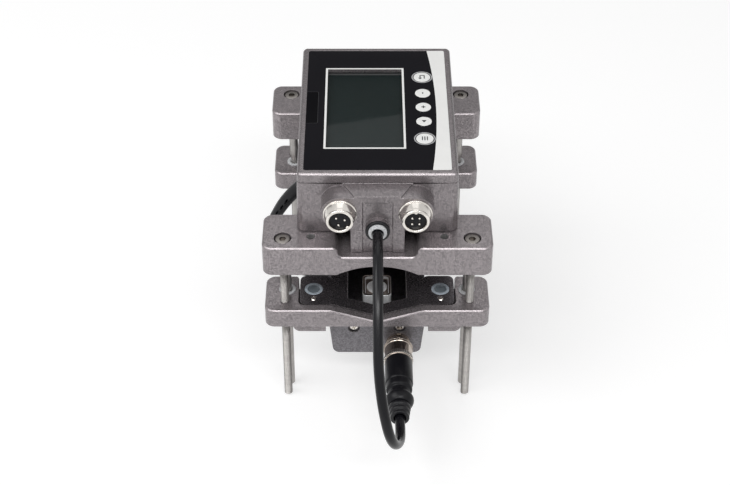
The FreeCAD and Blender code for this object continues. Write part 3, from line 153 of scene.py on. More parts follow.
def colour(name, value, words):
    """A colour setting."""
    return FloatVectorProperty(name=name, description=words, default=value, size=3, min=0.0, max=1.0,
                               subtype="COLOR")


def length(name, value, words):
    """A length setting."""
    return FloatProperty(name=name, description=words, default=value * MM, min=0.0, unit="LENGTH")


def count(name, value, words):
    """A setting that counts."""
    return IntProperty(name=name, description=words, default=value, min=8)


def number(name, value, words, **more):
    """A plain number setting."""
    return FloatProperty(name=name, description=words, default=value, min=0.0, **more)


class MeterFinish(bpy.types.PropertyGroup):
    """Colours of the meter's finishes."""

    paint_light: colour("Casting fleck", (0.375, 0.34, 0.349), "Lighter flecks of the hammered paint")
    paint_dark: colour("Casting ground", (0.19, 0.173, 0.18), "Darker ground of the hammered paint")
    # The cradle's colour is darkened as painted shade, for the shade under the upper bar
    cradle_paint: colour("Cradle", (0.12, 0.11, 0.118), "Dark paint of the cradle between the lower bars")
    # Lighter cradle edges: a painted highlight along the bevels where light catches
    rubbed: colour("Painted cradle edge highlight", (0.42, 0.39, 0.4), "Cradle edges, where its paint has worn thin")
    box_paint: colour("Sensor box", (0.19, 0.182, 0.194), "Satin paint of the sensor box")
    steel: colour("Steel", (0.39, 0.375, 0.36), "Stainless screws and rods")
    # The heads' darker steel is painted shade, for what their tops reflect
    screw_head: colour("Screw head", (0.27, 0.25, 0.235), "Darker heads of the clamp screws")
    bored: colour("Bored metal", (0.56, 0.55, 0.55), "Bare walls of the spare holes")
    # This nickel is darkened as painted shade, for the dark underside that the socket and nut reflect
    dark_nickel: colour("Dark nickel", (0.46, 0.4, 0.35), "Duller plate of the sensor socket and its nut")
    nickel: colour("Nickel", (0.76, 0.725, 0.68), "Plated connectors, pins and small screws")
    black_plastic: colour("Black plastic", (0.007, 0.007, 0.009), "Plug and connector inserts")
    rubber: colour("Rubber", (0.006, 0.006, 0.008), "Cables, boots and seals")
    light_plastic: colour("Light plastic", (0.62, 0.63, 0.645), "Guide bushings and gland sleeve")
    cap: colour("Ear cap", (0.46, 0.52, 0.58), "Plastic caps over the ear screws")
    # The sunk middles are darker as painted shade in the recess
    cap_dish: colour("Cap dish", (0.17, 0.2, 0.225), "The caps' sunk middles")
    coupling: colour("Coupling block", (0.86, 0.87, 0.88), "Bright metal of the coupling blocks")
    film: colour("Face film", (0.006, 0.0056, 0.0078), "Black film on the lid")
    tab_film: colour("Tab film", (0.003, 0.0028, 0.0039), "Glossy tab window in the film")
    print_white: colour("White print", (0.88, 0.88, 0.865), "White print and keys")
    print_grey: colour("Grey print", (0.46, 0.46, 0.47), "Rings round the end keys")
    print_dark: colour("Key symbols", (0.02, 0.02, 0.022), "Symbols on the keys")
    display: colour("Display", (0.022, 0.045, 0.044), "The display's unlit panel")
    glass: colour("Window", (0.008, 0.016, 0.016), "Tint of the display window")
    # A grey strip under the window's rear edge, painted light for the lit rear wall of the recess
    bezel: colour("Bezel", (0.32, 0.31, 0.32), "Border under the window's rear edge")
    board: colour("Board", (0.015, 0.11, 0.05), "Solder mask of the circuit boards")


class MeterDetail(bpy.types.PropertyGroup):
    """Sizes of the detail that the finished pieces carry."""

    edge: length("Casting edge", 0.28, "Round on the castings' edges")
    bar_edge: length("Bar edge", 0.14, "Round beside the bars' chamfers")
    small_edge: length("Small edge", 0.12, "Round on small pieces' edges")
    turn_steps: count("Turned steps", 72, "Steps round a turned piece")
    screw_pitch: length("Screw pitch", 0.7, "Pitch of the clamp screws' thread")
    screw_depth: length("Screw depth", 0.3, "Depth of the clamp screws' thread")
    screw_steps: count("Thread steps", 20, "Steps in one turn of a thread")
    connector_groove: length("Connector groove", 0.35, "Depth of the groove by a connector's flange")
    nut_teeth: count("Nut teeth", 42, "Teeth on the plug nut's front rim")
    print_thickness: length("Print thickness", 0.04, "How far the print stands on the film")
    frame_stroke: length("Frame stroke", 1.0, "Width of the white line round the display")
    stripe_apex: length("Stripe apex", 28.3, "Distance of the stripe's arc from the middle, at its crown")
    stripe_end: length("Stripe end", 25.2, "Distance of the stripe's arc from the middle, at its ends")
    cable: length("Cable", 4.8, "Diameter of the sensor cable")
    jumper: length("Jumper", 3.8, "Diameter of the jumper cable")


class MeterStage(bpy.types.PropertyGroup):
    """Light and camera."""

    ambient: number("Ambient", 0.36, "Strength of the world's light")
    key_light: number("Key light", 7.5, "Power of the upper left light", unit="POWER")
    right_light: number("Right light", 1.0, "Power of the upper right light", unit="POWER")
    back_light: number("Back light", 1.4, "Power of the light above the rear", unit="POWER")
    front_light: number("Front light", 9.0, "Power of the front light that edges catch", unit="POWER")
    card_dark: number("Dark card", 0.27, "Glow of the lower card behind")
    card_light: number("Light card", 0.76, "Glow of the upper card behind")
    floor_glow: number("Floor glow", 0.57, "Share of the floor's white that casts no shadow", max=1.0)
    lens: number("Lens", 80.2, "Focal length in millimetres")
    pitch: number("Pitch", math.radians(51.228), "The camera's tilt up from straight down", subtype="ANGLE")
    place: FloatVectorProperty(name="Camera", description="Where the camera stands", size=3,
                               default=(-0.00579, -0.64735, 0.56906), subtype="TRANSLATION")


def finish():
    """The scene's colour settings."""
    return bpy.context.scene.meter_finish


def detail():
    """The scene's detail settings."""
    return bpy.context.scene.meter_detail


def mm(name):
    """A detail length in millimetres."""
    return getattr(detail(), name) / MM


# Shader nodes

def feed(node, inputs):
    """Set a node's inputs, or link them where the value is another node's output."""
    for name, value in inputs.items():
        if isinstance(value, bpy.types.NodeSocket):
            node.id_data.links.new(value, node.inputs[name])
        else:
            node.inputs[name].default_value = value
    return node


def add(tree, kind, inputs=None, **values):
    """A shader node beside those before it, with its properties set and its inputs fed."""
    node = tree.nodes.new(kind)
    node.location.x = NODE_STEP * (len(tree.nodes) - NODE_ROOM)
    for name, value in values.items():
        setattr(node, name, value)
    return feed(node, inputs or {})


def group_tree(name, inputs, outputs):
    """A shader node group with named sockets, and the outputs of its input node if it is new."""
    found = bpy.data.node_groups.get(name)
    if found:
        return found, None
    tree = bpy.data.node_groups.new(name, "ShaderNodeTree")
    for label, value in inputs.items():
        kind = "NodeSocketVector" if value is None else "NodeSocketFloat"
        socket = tree.interface.new_socket(label, in_out="INPUT", socket_type=kind)
        if value is not None:
            socket.default_value = value
    for label in outputs:
        tree.interface.new_socket(label, in_out="OUTPUT", socket_type="NodeSocketFloat")
    return tree, add(tree, "NodeGroupInput").outputs


def fleck_group():
    """Flecks and dimples of a hammered paint: a mask from ground to fleck, and a height."""
    tree, source = group_tree("Hammered flecks", {"Vector": None, "Size": 0.0005, "Contrast": 1.0},
                              ("Mask", "Height"))
    if source is None:
        return tree
    rate = add(tree, "ShaderNodeMath", {0: 1.0, 1: source["Size"]}, operation="DIVIDE")
    where = {"Vector": source["Vector"], "Scale": rate.outputs[0]}
    flakes = add(tree, "ShaderNodeTexVoronoi", where)
    dimples = add(tree, "ShaderNodeTexNoise", {**where, "Detail": 2.0})
    spread = add(tree, "ShaderNodeMath", {0: flakes.outputs["Color"], 1: 0.5}, operation="SUBTRACT")
    stretch = add(tree, "ShaderNodeMath", {0: spread.outputs[0], 1: source["Contrast"], 2: 0.5},
                  operation="MULTIPLY_ADD", use_clamp=True)
    add(tree, "NodeGroupOutput", {"Mask": stretch.outputs[0], "Height": dimples.outputs["Fac"]})
    return tree


def grain_group():
    """Fine grain and broad smudges of a plain surface: two values about one half, for roughness and bump."""
    tree, source = group_tree("Surface grain", {"Vector": None, "Grain": 0.0002, "Smudge": 0.01},
                              ("Grain", "Smudge"))
    if source is None:
        return tree
    values = {}
    for label, fineness in (("Grain", 2.0), ("Smudge", 3.0)):
        rate = add(tree, "ShaderNodeMath", {0: 1.0, 1: source[label]}, operation="DIVIDE")
        noise = add(tree, "ShaderNodeTexNoise",
                    {"Vector": source["Vector"], "Scale": rate.outputs[0], "Detail": fineness})
        values[label] = noise.outputs["Fac"]
    add(tree, "NodeGroupOutput", values)
    return tree


def blank_material(name):
    """A new material, its tree, its Principled shader and its Object coordinates."""
    made = bpy.data.materials.new(name)
    made.use_nodes = True
    tree = made.node_tree
    shader = next(node for node in tree.nodes if node.type == "BSDF_PRINCIPLED")
    return made, tree, shader, add(tree, "ShaderNodeTexCoord").outputs["Object"]


def remap(tree, value, low, high):
    """A value about one half, stretched between two limits."""
    return add(tree, "ShaderNodeMapRange", {"Value": value, "From Min": 0.3, "From Max": 0.7,
                                            "To Min": low, "To Max": high}).outputs["Result"]


def bump(tree, height, strength, distance):
    """A normal bumped by a height."""
    return add(tree, "ShaderNodeBump", {"Strength": strength, "Distance": distance * MM,
                                        "Height": height}).outputs["Normal"]


def mixed(tree, mask, low, high):
    """A colour between two by a mask."""
    sockets = {"Factor": mask, 6: (*low, 1.0), 7: (*high, 1.0)}
    return add(tree, "ShaderNodeMix", sockets, data_type="RGBA").outputs[2]


def tinted(setting, share):
    """A colour setting times a share."""
    return [min(1.0, channel * share) for channel in getattr(finish(), setting)]


def hammered(name, ground, ground_share, fleck, fleck_share, size, contrast, smooth, rough, metallic, depth):
    """A metallic hammered paint."""
    made, tree, shader, place = blank_material(name)
    flecks = add(tree, "ShaderNodeGroup", {"Vector": place, "Size": size * MM, "Contrast": contrast},
                 node_tree=fleck_group()).outputs
    feed(shader, {
        "Base Color": mixed(tree, flecks["Mask"], tinted(ground, ground_share), tinted(fleck, fleck_share)),
        "Roughness": remap(tree, flecks["Mask"], rough, smooth),
        "Normal": bump(tree, flecks["Height"], 0.25, depth),
        "Metallic": metallic,
    })
    return made


def grained(name, setting, smooth, rough, metallic, specular, coat, grain, smudge, stretch, relief, shift):
    """A plain surface with fine grain in its roughness and bump, and broad smudges in its colour."""
    made, tree, shader, place = blank_material(name)
    drawn = add(tree, "ShaderNodeMapping", {"Vector": place, "Scale": (1, 1, stretch)}).outputs["Vector"]
    surface = add(tree, "ShaderNodeGroup", {"Vector": drawn, "Grain": grain * MM, "Smudge": smudge * MM},
                  node_tree=grain_group()).outputs
    smudges = remap(tree, surface["Smudge"], 0.0, 1.0)
    feed(shader, {
        "Base Color": mixed(tree, smudges, tinted(setting, 1 - shift), tinted(setting, 1 + shift)),
        "Roughness": remap(tree, surface["Grain"], smooth, rough),
        "Normal": bump(tree, surface["Grain"], 0.3, relief),
        "Metallic": metallic,
        "Specular IOR Level": specular,
        "Coat Weight": coat,
    })
    return made


def glazed(name, setting, smooth, rough, grain, smudge, alpha, index):
    """A tinted window with faint smudges in its gloss."""
    made, tree, shader, place = blank_material(name)
    surface = add(tree, "ShaderNodeGroup", {"Vector": place, "Grain": grain * MM, "Smudge": smudge * MM},
                  node_tree=grain_group()).outputs
    feed(shader, {"Base Color": (*tinted(setting, 1.0), 1.0), "Alpha": alpha, "IOR": index,
                  "Roughness": remap(tree, surface["Smudge"], smooth, rough)})
    return made


def material(key):
    """The finish of that key, built at its first use."""
    for build, table in ((hammered, PAINTS), (grained, PLAIN), (glazed, GLASS)):
        if key in table:
            return bpy.data.materials.get(table[key][0]) or build(*table[key])
    raise KeyError(key)


# Mesh helpers

def box(node):
    """The lowest and highest corners of a node."""
    low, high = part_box(node)
    return low / MM, high / MM


def mid(node):
    """The middle of a node's box."""
    low, high = box(node)
    return (low + high) / 2


def clean(bm):
    """Merge doubles and point the faces outwards."""
    bmesh.ops.remove_doubles(bm, verts=bm.verts, dist=NEAR)
    bmesh.ops.recalc_face_normals(bm, faces=bm.faces)
    return bm


def mesh_object(name, bm):
    """A new object in the scene from a bmesh, which is used up."""
    mesh = bpy.data.meshes.new(name)
    bm.to_mesh(mesh)
    bm.free()
    made = bpy.data.objects.new(name, mesh)
    bpy.context.scene.collection.objects.link(made)
    return made


def smooth_object(name, bm, finishes, sharp):
    """A smoothly shaded object with its finishes, named by their keys."""
    made = mesh_object(name, bm)
    made.data.shade_smooth()
    made.data.set_sharp_from_angle(angle=math.radians(sharp))
    for key in finishes.split():
        made.data.materials.append(material(key))
    return made


def new_piece(name, bm, finishes, node=None, body=None, sharp=30):
    """Make a piece from a bmesh, and let it ride with, and stand for, the node whose place it takes."""
    piece = smooth_object(name, bm, finishes, sharp)
    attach(piece, body or BODY_OF[node])
    if node:
        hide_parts(node)
    return piece


def second_finish(bm, chosen):
    """Give the chosen faces the piece's second finish."""
    for face in bm.faces:
        face.material_index = 1 if chosen(face) else 0
    return bm


def evaluated_mesh(thing):
    """A new mesh of an object, as its modifiers or its curve settings make it."""
    graph = bpy.context.evaluated_depsgraph_get()
    graph.update()
    return bpy.data.meshes.new_from_object(thing.evaluated_get(graph))


def taken(mesh):
    """A bmesh from a mesh, which is used up."""
    bm = bmesh.new()
    bm.from_mesh(mesh)
    bpy.data.meshes.remove(mesh)
    return bm


def merged_copy(node):
    """A bmesh copy of a node's mesh, with its facets joined."""
    bm = bmesh.new()
    bm.from_mesh(frame["nodes"][node].data)
    bmesh.ops.remove_doubles(bm, verts=bm.verts, dist=FACET_NEAR)
    return bm


def bevel(bm, geom, size, segments, affect="EDGES"):
    """Round edges or corners."""
    bmesh.ops.bevel(bm, geom=geom, offset=size * MM, offset_type="OFFSET", segments=segments, profile=0.5,
                    affect=affect, material=-1)


def profile(points):
    """A bmesh line through (along, radius) points beside the Z axis, and its vertices."""
    bm = bmesh.new()
    verts = [bm.verts.new((radius * MM, 0, along * MM)) for along, radius in points]
    for pair in zip(verts, verts[1:]):
        bm.edges.new(pair)
    return bm, verts


def lathe(stations, bore=0, segments=3, steps=None):
    """A form turned about Z from (along, radius, ease) stations, where ease rounds that corner.

    Its ends run in to the axis, or to the bore's wall.
    """
    start = (stations[0][0], bore, 0)
    stations = [start, *stations]
    if stations[-1][1] != bore:
        stations.append((stations[-1][0], bore, 0))
    if bore and stations[-1] != start:
        stations.append(start)
    bm, verts = profile([station[:2] for station in stations])
    eases = [station[2] for station in stations]
    for size in sorted(set(eases) - {0}):
        corners = [vert for vert, ease in zip(verts, eases) if ease == size]
        bevel(bm, corners, size, segments, "VERTICES")
    bmesh.ops.spin(bm, geom=bm.verts[:] + bm.edges[:], cent=(0, 0, 0), axis=(0, 0, 1), angle=2 * math.pi,
                   steps=steps or detail().turn_steps, use_merge=True)
    return clean(bm)


def thread(radius, depth, pitch, z0, z1, steps):
    """A right-handed helical thread about Z, cut square and closed at both ends."""
    start = z0 - 2 * pitch
    turns = math.ceil((z1 - start) / pitch) + 1
    # One turn of the groove and the tooth: shares of the pitch, and how deep each lies
    tooth = [(0.0, depth), (0.12, depth), (0.44, 0.0), (0.68, 0.0), (1.0, depth)]
    bm = profile([(start + share * pitch, radius - sunk) for share, sunk in tooth])[0]
    bmesh.ops.spin(bm, geom=bm.verts[:] + bm.edges[:], cent=(0, 0, 0), axis=(0, 0, 1),
                   dvec=(0, 0, pitch * MM / steps), angle=2 * math.pi * turns, steps=steps * turns)
    bmesh.ops.remove_doubles(bm, verts=bm.verts, dist=FACET_NEAR)
    for height, side in ((z0 * MM, -1), (z1 * MM, 1)):
        bmesh.ops.bisect_plane(bm, geom=bm.verts[:] + bm.edges[:] + bm.faces[:], plane_co=(0, 0, height),
                               plane_no=(0, 0, side), clear_outer=True)
        rim = [edge for edge in bm.edges if edge.is_boundary
               and all(abs(vert.co.z - height) < ON_PLANE for vert in edge.verts)]
        bmesh.ops.edgeloop_fill(bm, edges=rim)
    return clean(bm)


def moved(bm, matrix):
    """Transform a bmesh."""
    bmesh.ops.transform(bm, matrix=matrix, verts=bm.verts)
    return bm


def shifted(bm, place):
    """Move a bmesh to a place."""
    return moved(bm, Matrix.Translation(Vector(place) * MM))


def fronted(bm, place, y=0, turn=0):
    """Turn a form about Z to face the front, or a turn away from it, and put it in its place there."""
    way = Matrix.Rotation(math.radians(turn), 4, "Z") @ FORWARD
    return moved(bm, Matrix.Translation(Vector((place.x, y, place.z)) * MM) @ way)


def depths(node):
    """How far a node's rear and front lie along a form that faces the front."""
    low, high = box(node)
    return -high.y, -low.y


def joined(*parts):
    """One bmesh from several, which are used up."""
    whole = bmesh.new()
    for part in parts:
        mesh = bpy.data.meshes.new("part")
        part.to_mesh(mesh)
        part.free()
        whole.from_mesh(mesh)
        bpy.data.meshes.remove(mesh)
    return whole


def copies(bm, places):
    """One bmesh with a copy of the form at each place."""
    whole = joined(*[shifted(bm.copy(), place) for place in places])
    bm.free()
    return whole


def cut(bm, cutter):
    """The first form with the second taken out of it."""
    whole, tool = mesh_object("whole", bm), mesh_object("tool", cutter)
    modifier = whole.modifiers.new("Cut", "BOOLEAN")
    modifier.operation = "DIFFERENCE"
    modifier.solver = "EXACT"
    modifier.object = tool
    mesh = evaluated_mesh(whole)
    for item in (whole, tool):
        bpy.data.meshes.remove(item.data)
    return taken(mesh)


def flat(points):
    """A bmesh with one face, from its (x, y, z) outline."""
    bm = bmesh.new()
    bm.faces.new([bm.verts.new(Vector(point) * MM) for point in points])
    bm.normal_update()
    return bm


def raised(bm, height):
    """Make a flat form solid upwards."""
    grown = bmesh.ops.extrude_face_region(bm, geom=bm.faces[:])
    top = [item for item in grown["geom"] if isinstance(item, bmesh.types.BMVert)]
    bmesh.ops.translate(bm, verts=top, vec=(0, 0, height * MM))
    return clean(bm)


def prism(points, height):
    """An upright prism from its (x, y, z) outline."""
    return raised(flat(points), height)


def rectangle(x0, y0, x1, y1, z=0.0):
    """The corners of a level rectangle at a height."""
    return [(x0, y0, z), (x1, y0, z), (x1, y1, z), (x0, y1, z)]


def ring_points(radius, number_of, z=0.0):
    """Points round a circle about Z."""
    turns = [2 * math.pi * i / number_of for i in range(number_of)]
    return [(radius * math.cos(turn), radius * math.sin(turn), z) for turn in turns]


def eased_copy(node, size, segments=2):
    """A merged copy of a node's mesh with its hard edges rounded."""
    flattest, hardest = math.radians(0.6), math.radians(32)
    bm = merged_copy(node)
    bmesh.ops.dissolve_limit(bm, angle_limit=flattest, verts=bm.verts, edges=bm.edges)
    hard = [edge for edge in bm.edges if edge.is_manifold and edge.calc_face_angle(0) > hardest]
    bevel(bm, hard, size, segments)
    return bm


def dressed(name, node, ease, finishes, segments=2):
    """A piece that is a node's own form, with rounded edges and a finish."""
    return new_piece(name, eased_copy(node, ease, segments), finishes, node)


def weigh_normals(piece):
    """Keep broad faces flat where they meet rounded edges."""
    piece.modifiers.new("Weighted normals", "WEIGHTED_NORMAL").keep_sharp = True


def loose_centres(node):
    """The middle of each separate solid in a node."""
    bm = merged_copy(node)
    left = set(bm.verts)
    centres = []
    while left:
        island = [left.pop()]
        low, high = island[0].co.copy(), island[0].co.copy()
        while island:
            vert = island.pop()
            low = Vector(map(min, low, vert.co))
            high = Vector(map(max, high, vert.co))
            for edge in vert.link_edges:
                other = edge.other_vert(vert)
                if other in left:
                    left.remove(other)
                    island.append(other)
        centres.append((low + high) / (2 * MM))
    bm.free()
    return sorted(centres, key=lambda place: (round(place.y, 1), round(place.x, 1), round(place.z, 1)))


def floor_places(node):
    """The places of a node's separate solids, at height zero."""
    return [(place.x, place.y, 0) for place in loose_centres(node)]


class METER_OT_castings(bpy.types.Operator):
    """Paint the bars, the cradle, the housing and the sensor box, with rounded edges"""

    bl_idname = "meter.castings"
    bl_label = "Castings"

    def execute(self, context):
        edge = mm("edge")
        for nodes, ease, finishes in (
                (("front_upper_bar", "rear_upper_bar", "front_lower_bar", "rear_lower_bar"), mm("bar_edge"),
                 "casting casting_edge bored"),
                (("housing_base", "housing_lid"), edge, "housing housing_edge"),
                # The cradle takes paint darkened as painted shade, with a painted highlight on its edges
                (("cradle",), 1.3 * edge, "cradle rubbed"),
                (("sensor_box", "sensor_box_front_cover", "sensor_box_rear_cover"), edge, "box")):
            for node in nodes:
                form = eased_copy(node, ease)
                if finishes != "box":
                    self.mark_edges(form)
                if node.endswith("upper_bar"):
                    self.bare_holes(node, form)
                weigh_normals(new_piece(node + "_casting", form, finishes, node))
        return {"FINISHED"}

    def mark_edges(self, form):
        """Give the narrow faces round the upper edges the second finish, which on the cradle is a painted
        highlight.
        """
        narrow, steepest, flattest = 1.2 * MM, 0.35, 0.92
        form.normal_update()
        second_finish(form, lambda face: steepest < face.normal.z < flattest and face.calc_area()
                      < narrow * max(edge.calc_length() for edge in face.edges))

    def bare_holes(self, node, form):
        """Leave the walls of the upper bars' spare holes unpainted."""
        low, high = box(node)
        inset, spread, radius, steepest = 9, 31, 2.02, 0.5
        y = low.y + inset if node.startswith("front") else high.y - inset
        for face in form.faces:
            middle = face.calc_center_median() / MM
            if math.hypot(abs(middle.x) - spread, middle.y - y) < radius and abs(face.normal.z) < steepest:
                face.material_index = 2


class METER_OT_clamp_screws(bpy.types.Operator):
    """Turn the four clamp screws, with threads and socket heads"""

    bl_idname = "meter.clamp_screws"
    bl_label = "Clamp Screws"

    def execute(self, context):
        low, high = box("clamp_screw_front_left")
        height, shank, point, lap = 4, 2, 0.5, 0.2
        seat = high.z - height
        depth = mm("screw_depth")
        root = shank - depth
        tip = lathe([(0, root - 0.35, 0.08), (point, root, 0), (2, root, 0)], steps=24)
        shaft = thread(shank, depth, mm("screw_pitch"), point + 0.05, seat + lap, detail().screw_steps)
        screw = joined(tip, shaft, self.head(seat, (high.x - low.x) / 2, height))
        # The heads take the darkened steel: painted shade on the same steel as the shank
        second_finish(screw, lambda face: face.calc_center_median().z > (seat + lap + 0.01) * MM)
        for corner in ("front_left", "front_right", "rear_left", "rear_right"):
            node = "clamp_screw_" + corner
            place = mid(node)
            form = shifted(screw.copy(), (place.x, place.y, 0))
            new_piece("socket_screw_" + corner, form, "steel head_steel", node)
        screw.free()
        return {"FINISHED"}

    def head(self, seat, radius, height):
        """A head on its seat, with a hexagon socket in its top."""
        across, depth = 3, 2
        top = seat + height
        head = lathe([(seat, radius, 0.1), (top, radius, 0.35)])
        return cut(head, prism(ring_points(across / math.sqrt(3), 6, top - depth), 2 * depth))


class METER_OT_rods(bpy.types.Operator):
    """Turn the guide rods, their bushings, the ear caps and the small screws and pins"""

    bl_idname = "meter.rods"
    bl_label = "Rods and Bushings"

    def execute(self, context):
        rod, bore, wall, brim, rim, pin = 2, 2.05, 3, 4, 4.35, 1.5
        low, high = box("guide_rods")
        form = lathe([(0, rod - 0.6, 0.12), (0.6, rod, 0.2), (high.z, rod, 0)])
        self.place("ground_rods", form, "rod_steel", "guide_rods")
        low, high = box("guide_bushings")
        top, flange = high.z, high.z - 0.8
        form = lathe([(low.z, wall, 0.1), (flange, wall, 0), (flange, brim, 0.1), (top, brim, 0.3),
                      (top, bore + 0.5, 0.15), (top - 0.5, bore, 0)], bore)
        self.place("flanged_bushings", form, "light_plastic", "guide_bushings")
        low, high = box("ear_caps")
        top = high.z
        form = lathe([(low.z, rim, 0.1), (top, rim, 0.18), (top, rim - 1.3, 0.2),
                      (top - 0.7, rim - 1.7, 0.3), (top - 0.9, 1.2, 0.6), (top - 0.88, 0, 0)])
        # The dish takes the darker plastic: painted shade in the recess
        second_finish(form, lambda face: face.calc_center_median().xy.length < (rim - 1.45) * MM)
        self.place("dished_caps", form, "cap cap_dish", "ear_caps")
        low, high = box("ear_pins")
        form = lathe([(low.z, pin, 0.1), (high.z - 0.7, pin, 0.3), (high.z, 0.8, 0.3)], steps=40)
        self.place("dowel_pins", form, "nickel", "ear_pins")
        for node in ("bar_screws", "ear_screws", "box_screws", "lid_screws"):
            dressed(node + "_turned", node, mm("small_edge"), "steel")
        return {"FINISHED"}

    def place(self, name, form, finishes, node):
        """One piece with the form at each of the node's places."""
        new_piece(name, copies(form, floor_places(node)), finishes, node)


class METER_OT_cover_screws(bpy.types.Operator):
    """Turn the pan-head screws of the sensor box covers, with crossed recesses"""

    bl_idname = "meter.cover_screws"
    bl_label = "Cover Screws"

    def execute(self, context):
        head, shank, rise, reach, skew = 2.3, 1.5, 1.2, 7.4, 20
        recess = Vector((2.3, 0.55, 1.6))
        screw = lathe([(-reach, shank, 0.1), (0, shank, 0), (0, head, 0.1), (rise * 0.55, head, 0.25),
                       (rise, 1.3, 0.5)], steps=40)
        for turn in (0, 90):
            slot = bmesh.new()
            bmesh.ops.create_cube(slot, size=1.0)
            bmesh.ops.scale(slot, vec=recess * MM, verts=slot.verts)
            moved(slot, Matrix.Rotation(math.radians(turn + skew), 4, "Z"))
            screw = cut(screw, shifted(slot, (0, 0, rise)))
        low, high = box("cover_screws")
        parts = []
        for place in loose_centres("cover_screws"):
            seat, turn = (low.y + rise, 0) if place.y < 0 else (high.y - rise, 180)
            parts.append(fronted(screw.copy(), place, seat, turn))
        screw.free()
        new_piece("pan_screws", joined(*parts), "nickel", "cover_screws")
        return {"FINISHED"}


class METER_OT_face(bpy.types.Operator):
    """Lay the face film on the lid, with its white line, stripe, rings and tab window"""

    bl_idname = "meter.face"
    bl_label = "Face Film"

    def execute(self, context):
        low, high = box("keypad_overlay")
        top, rise = high.z, mm("print_thickness")
        dressed("printed_film", "keypad_overlay", 0.05, "film")
        self.line(top, rise)
        self.stripe(low, high, top, rise)
        self.rings(top, rise)
        self.tab(low, top, rise)
        return {"FINISHED"}

    def line(self, top, rise):
        """The white line round the display opening."""
        low, high = box("display_window")
        ledge, stroke = 1.6, mm("frame_stroke")
        reach = ledge - stroke
        bm = flat(rectangle(low.x + reach, low.y + reach, high.x - reach, high.y - reach, top))
        middle = bm.faces[:]
        bmesh.ops.inset_region(bm, faces=middle, thickness=stroke * MM, use_boundary=True,
                               use_even_offset=True)
        bmesh.ops.delete(bm, geom=middle, context="FACES_ONLY")
        new_piece("display_line", raised(bm, rise), "print_white", body="root")

    def stripe(self, low, high, top, rise):
        """The white field along the right side, bounded by a flat arc."""
        apex, steps, corner, corner_steps = mm("stripe_apex"), 24, 1, 9
        half, middle = (high.y - low.y) / 2, (high.y + low.y) / 2
        sag = apex - mm("stripe_end")
        radius = (half ** 2 + sag ** 2) / (2 * sag)
        points = []
        for i in range(steps + 1):
            along = half * (1 - 2 * i / steps)
            points.append((apex - radius + math.sqrt(radius ** 2 - along ** 2), middle + along, top))
        for sign in (-1, 1):
            for i in range(corner_steps):
                share = i / corner_steps
                turn = math.pi / 2 * (share if sign > 0 else 1 - share)
                points.append((high.x - corner + corner * math.cos(turn),
                               middle + sign * (half - corner + corner * math.sin(turn)), top))
        new_piece("stripe_print", prism(points, rise), "print_white", body="root")

    def rings(self, top, rise):
        """The grey rings round the two end keys."""
        inner, outer = 4.55, 5.05
        ring = lathe([(0, outer, 0), (rise, outer, 0)], inner)
        places = [(mid(node).x, mid(node).y, top) for node in ("key_menu", "key_back")]
        new_piece("key_rings", copies(ring, places), "print_grey", body="root")

    def tab(self, low, top, rise):
        """The glossy tab window at the left edge, with its thin outline."""
        x0, x1, y0, y1 = low.x + 0.1, low.x + 5.7, -12, 14.9
        line, corner = 0.17, 0.9
        for name, inset, height, finishes in (("tab_outline", 0.0, rise / 2, "print_dark"),
                                              ("tab_window", line, rise, "tab_film")):
            right = x1 - inset
            plate = prism(rectangle(x0, y0 + inset, right, y1 - inset, top), height)
            upright = [edge for edge in plate.edges
                       if all(abs(vert.co.x - right * MM) < NEAR for vert in edge.verts)
                       and abs(edge.verts[0].co.y - edge.verts[1].co.y) < NEAR]
            bevel(plate, upright, corner - inset, 6)
            new_piece(name, plate, finishes, body="root")


class METER_OT_keys(bpy.types.Operator):
    """Make the five white keys with their symbols"""

    bl_idname = "meter.keys"
    bl_label = "Keys"

    def execute(self, context):
        for name, symbol in (("menu", self.bars), ("left", self.arrow), ("plus", self.plus),
                             ("minus", self.minus), ("back", self.back_arrow)):
            node = "key_" + name
            low, high = box(node)
            place = mid(node)
            radius, top = (high.x - low.x) / 2, high.z
            cap = lathe([(low.z, radius, 0.1), (top - 0.04, radius, 0.12), (top, radius * 0.7, radius * 0.2)])
            new_piece(node + "_cap", shifted(cap, (place.x, place.y, 0)), "print_white", node)
            mark = shifted(symbol(), (place.x, place.y, top))
            new_piece(node + "_symbol", mark, "print_dark", body=node)
        return {"FINISHED"}

    def block(self, x, y, width, depth):
        """A printed bar about a place on the key."""
        half_x, half_y = width / 2, depth / 2
        return prism(rectangle(x - half_x, y - half_y, x + half_x, y + half_y), mm("print_thickness"))

    def plus(self):
        return joined(self.block(0, 0, 0.55, 2.0), self.block(0, 0, 2.0, 0.55))

    def minus(self):
        return self.block(0, 0, 0.55, 1.2)

    def arrow(self):
        return prism([(-1.15, 0.8, 0), (0, -1.1, 0), (1.15, 0.8, 0)], mm("print_thickness"))

    def bars(self):
        return joined(*[self.block(x, 0, 0.5, 3.0) for x in (-1.15, 0, 1.15)])

    def back_arrow(self):
        head = prism([(0.1, -0.7, 0), (-0.9, -1.9, 0), (-1.9, -0.7, 0)], mm("print_thickness"))
        return joined(head, self.block(-0.9, 0.4, 0.5, 2.2), self.block(0.15, 1.35, 1.9, 0.5),
                      self.block(1.15, 0.1, 0.5, 3.0))


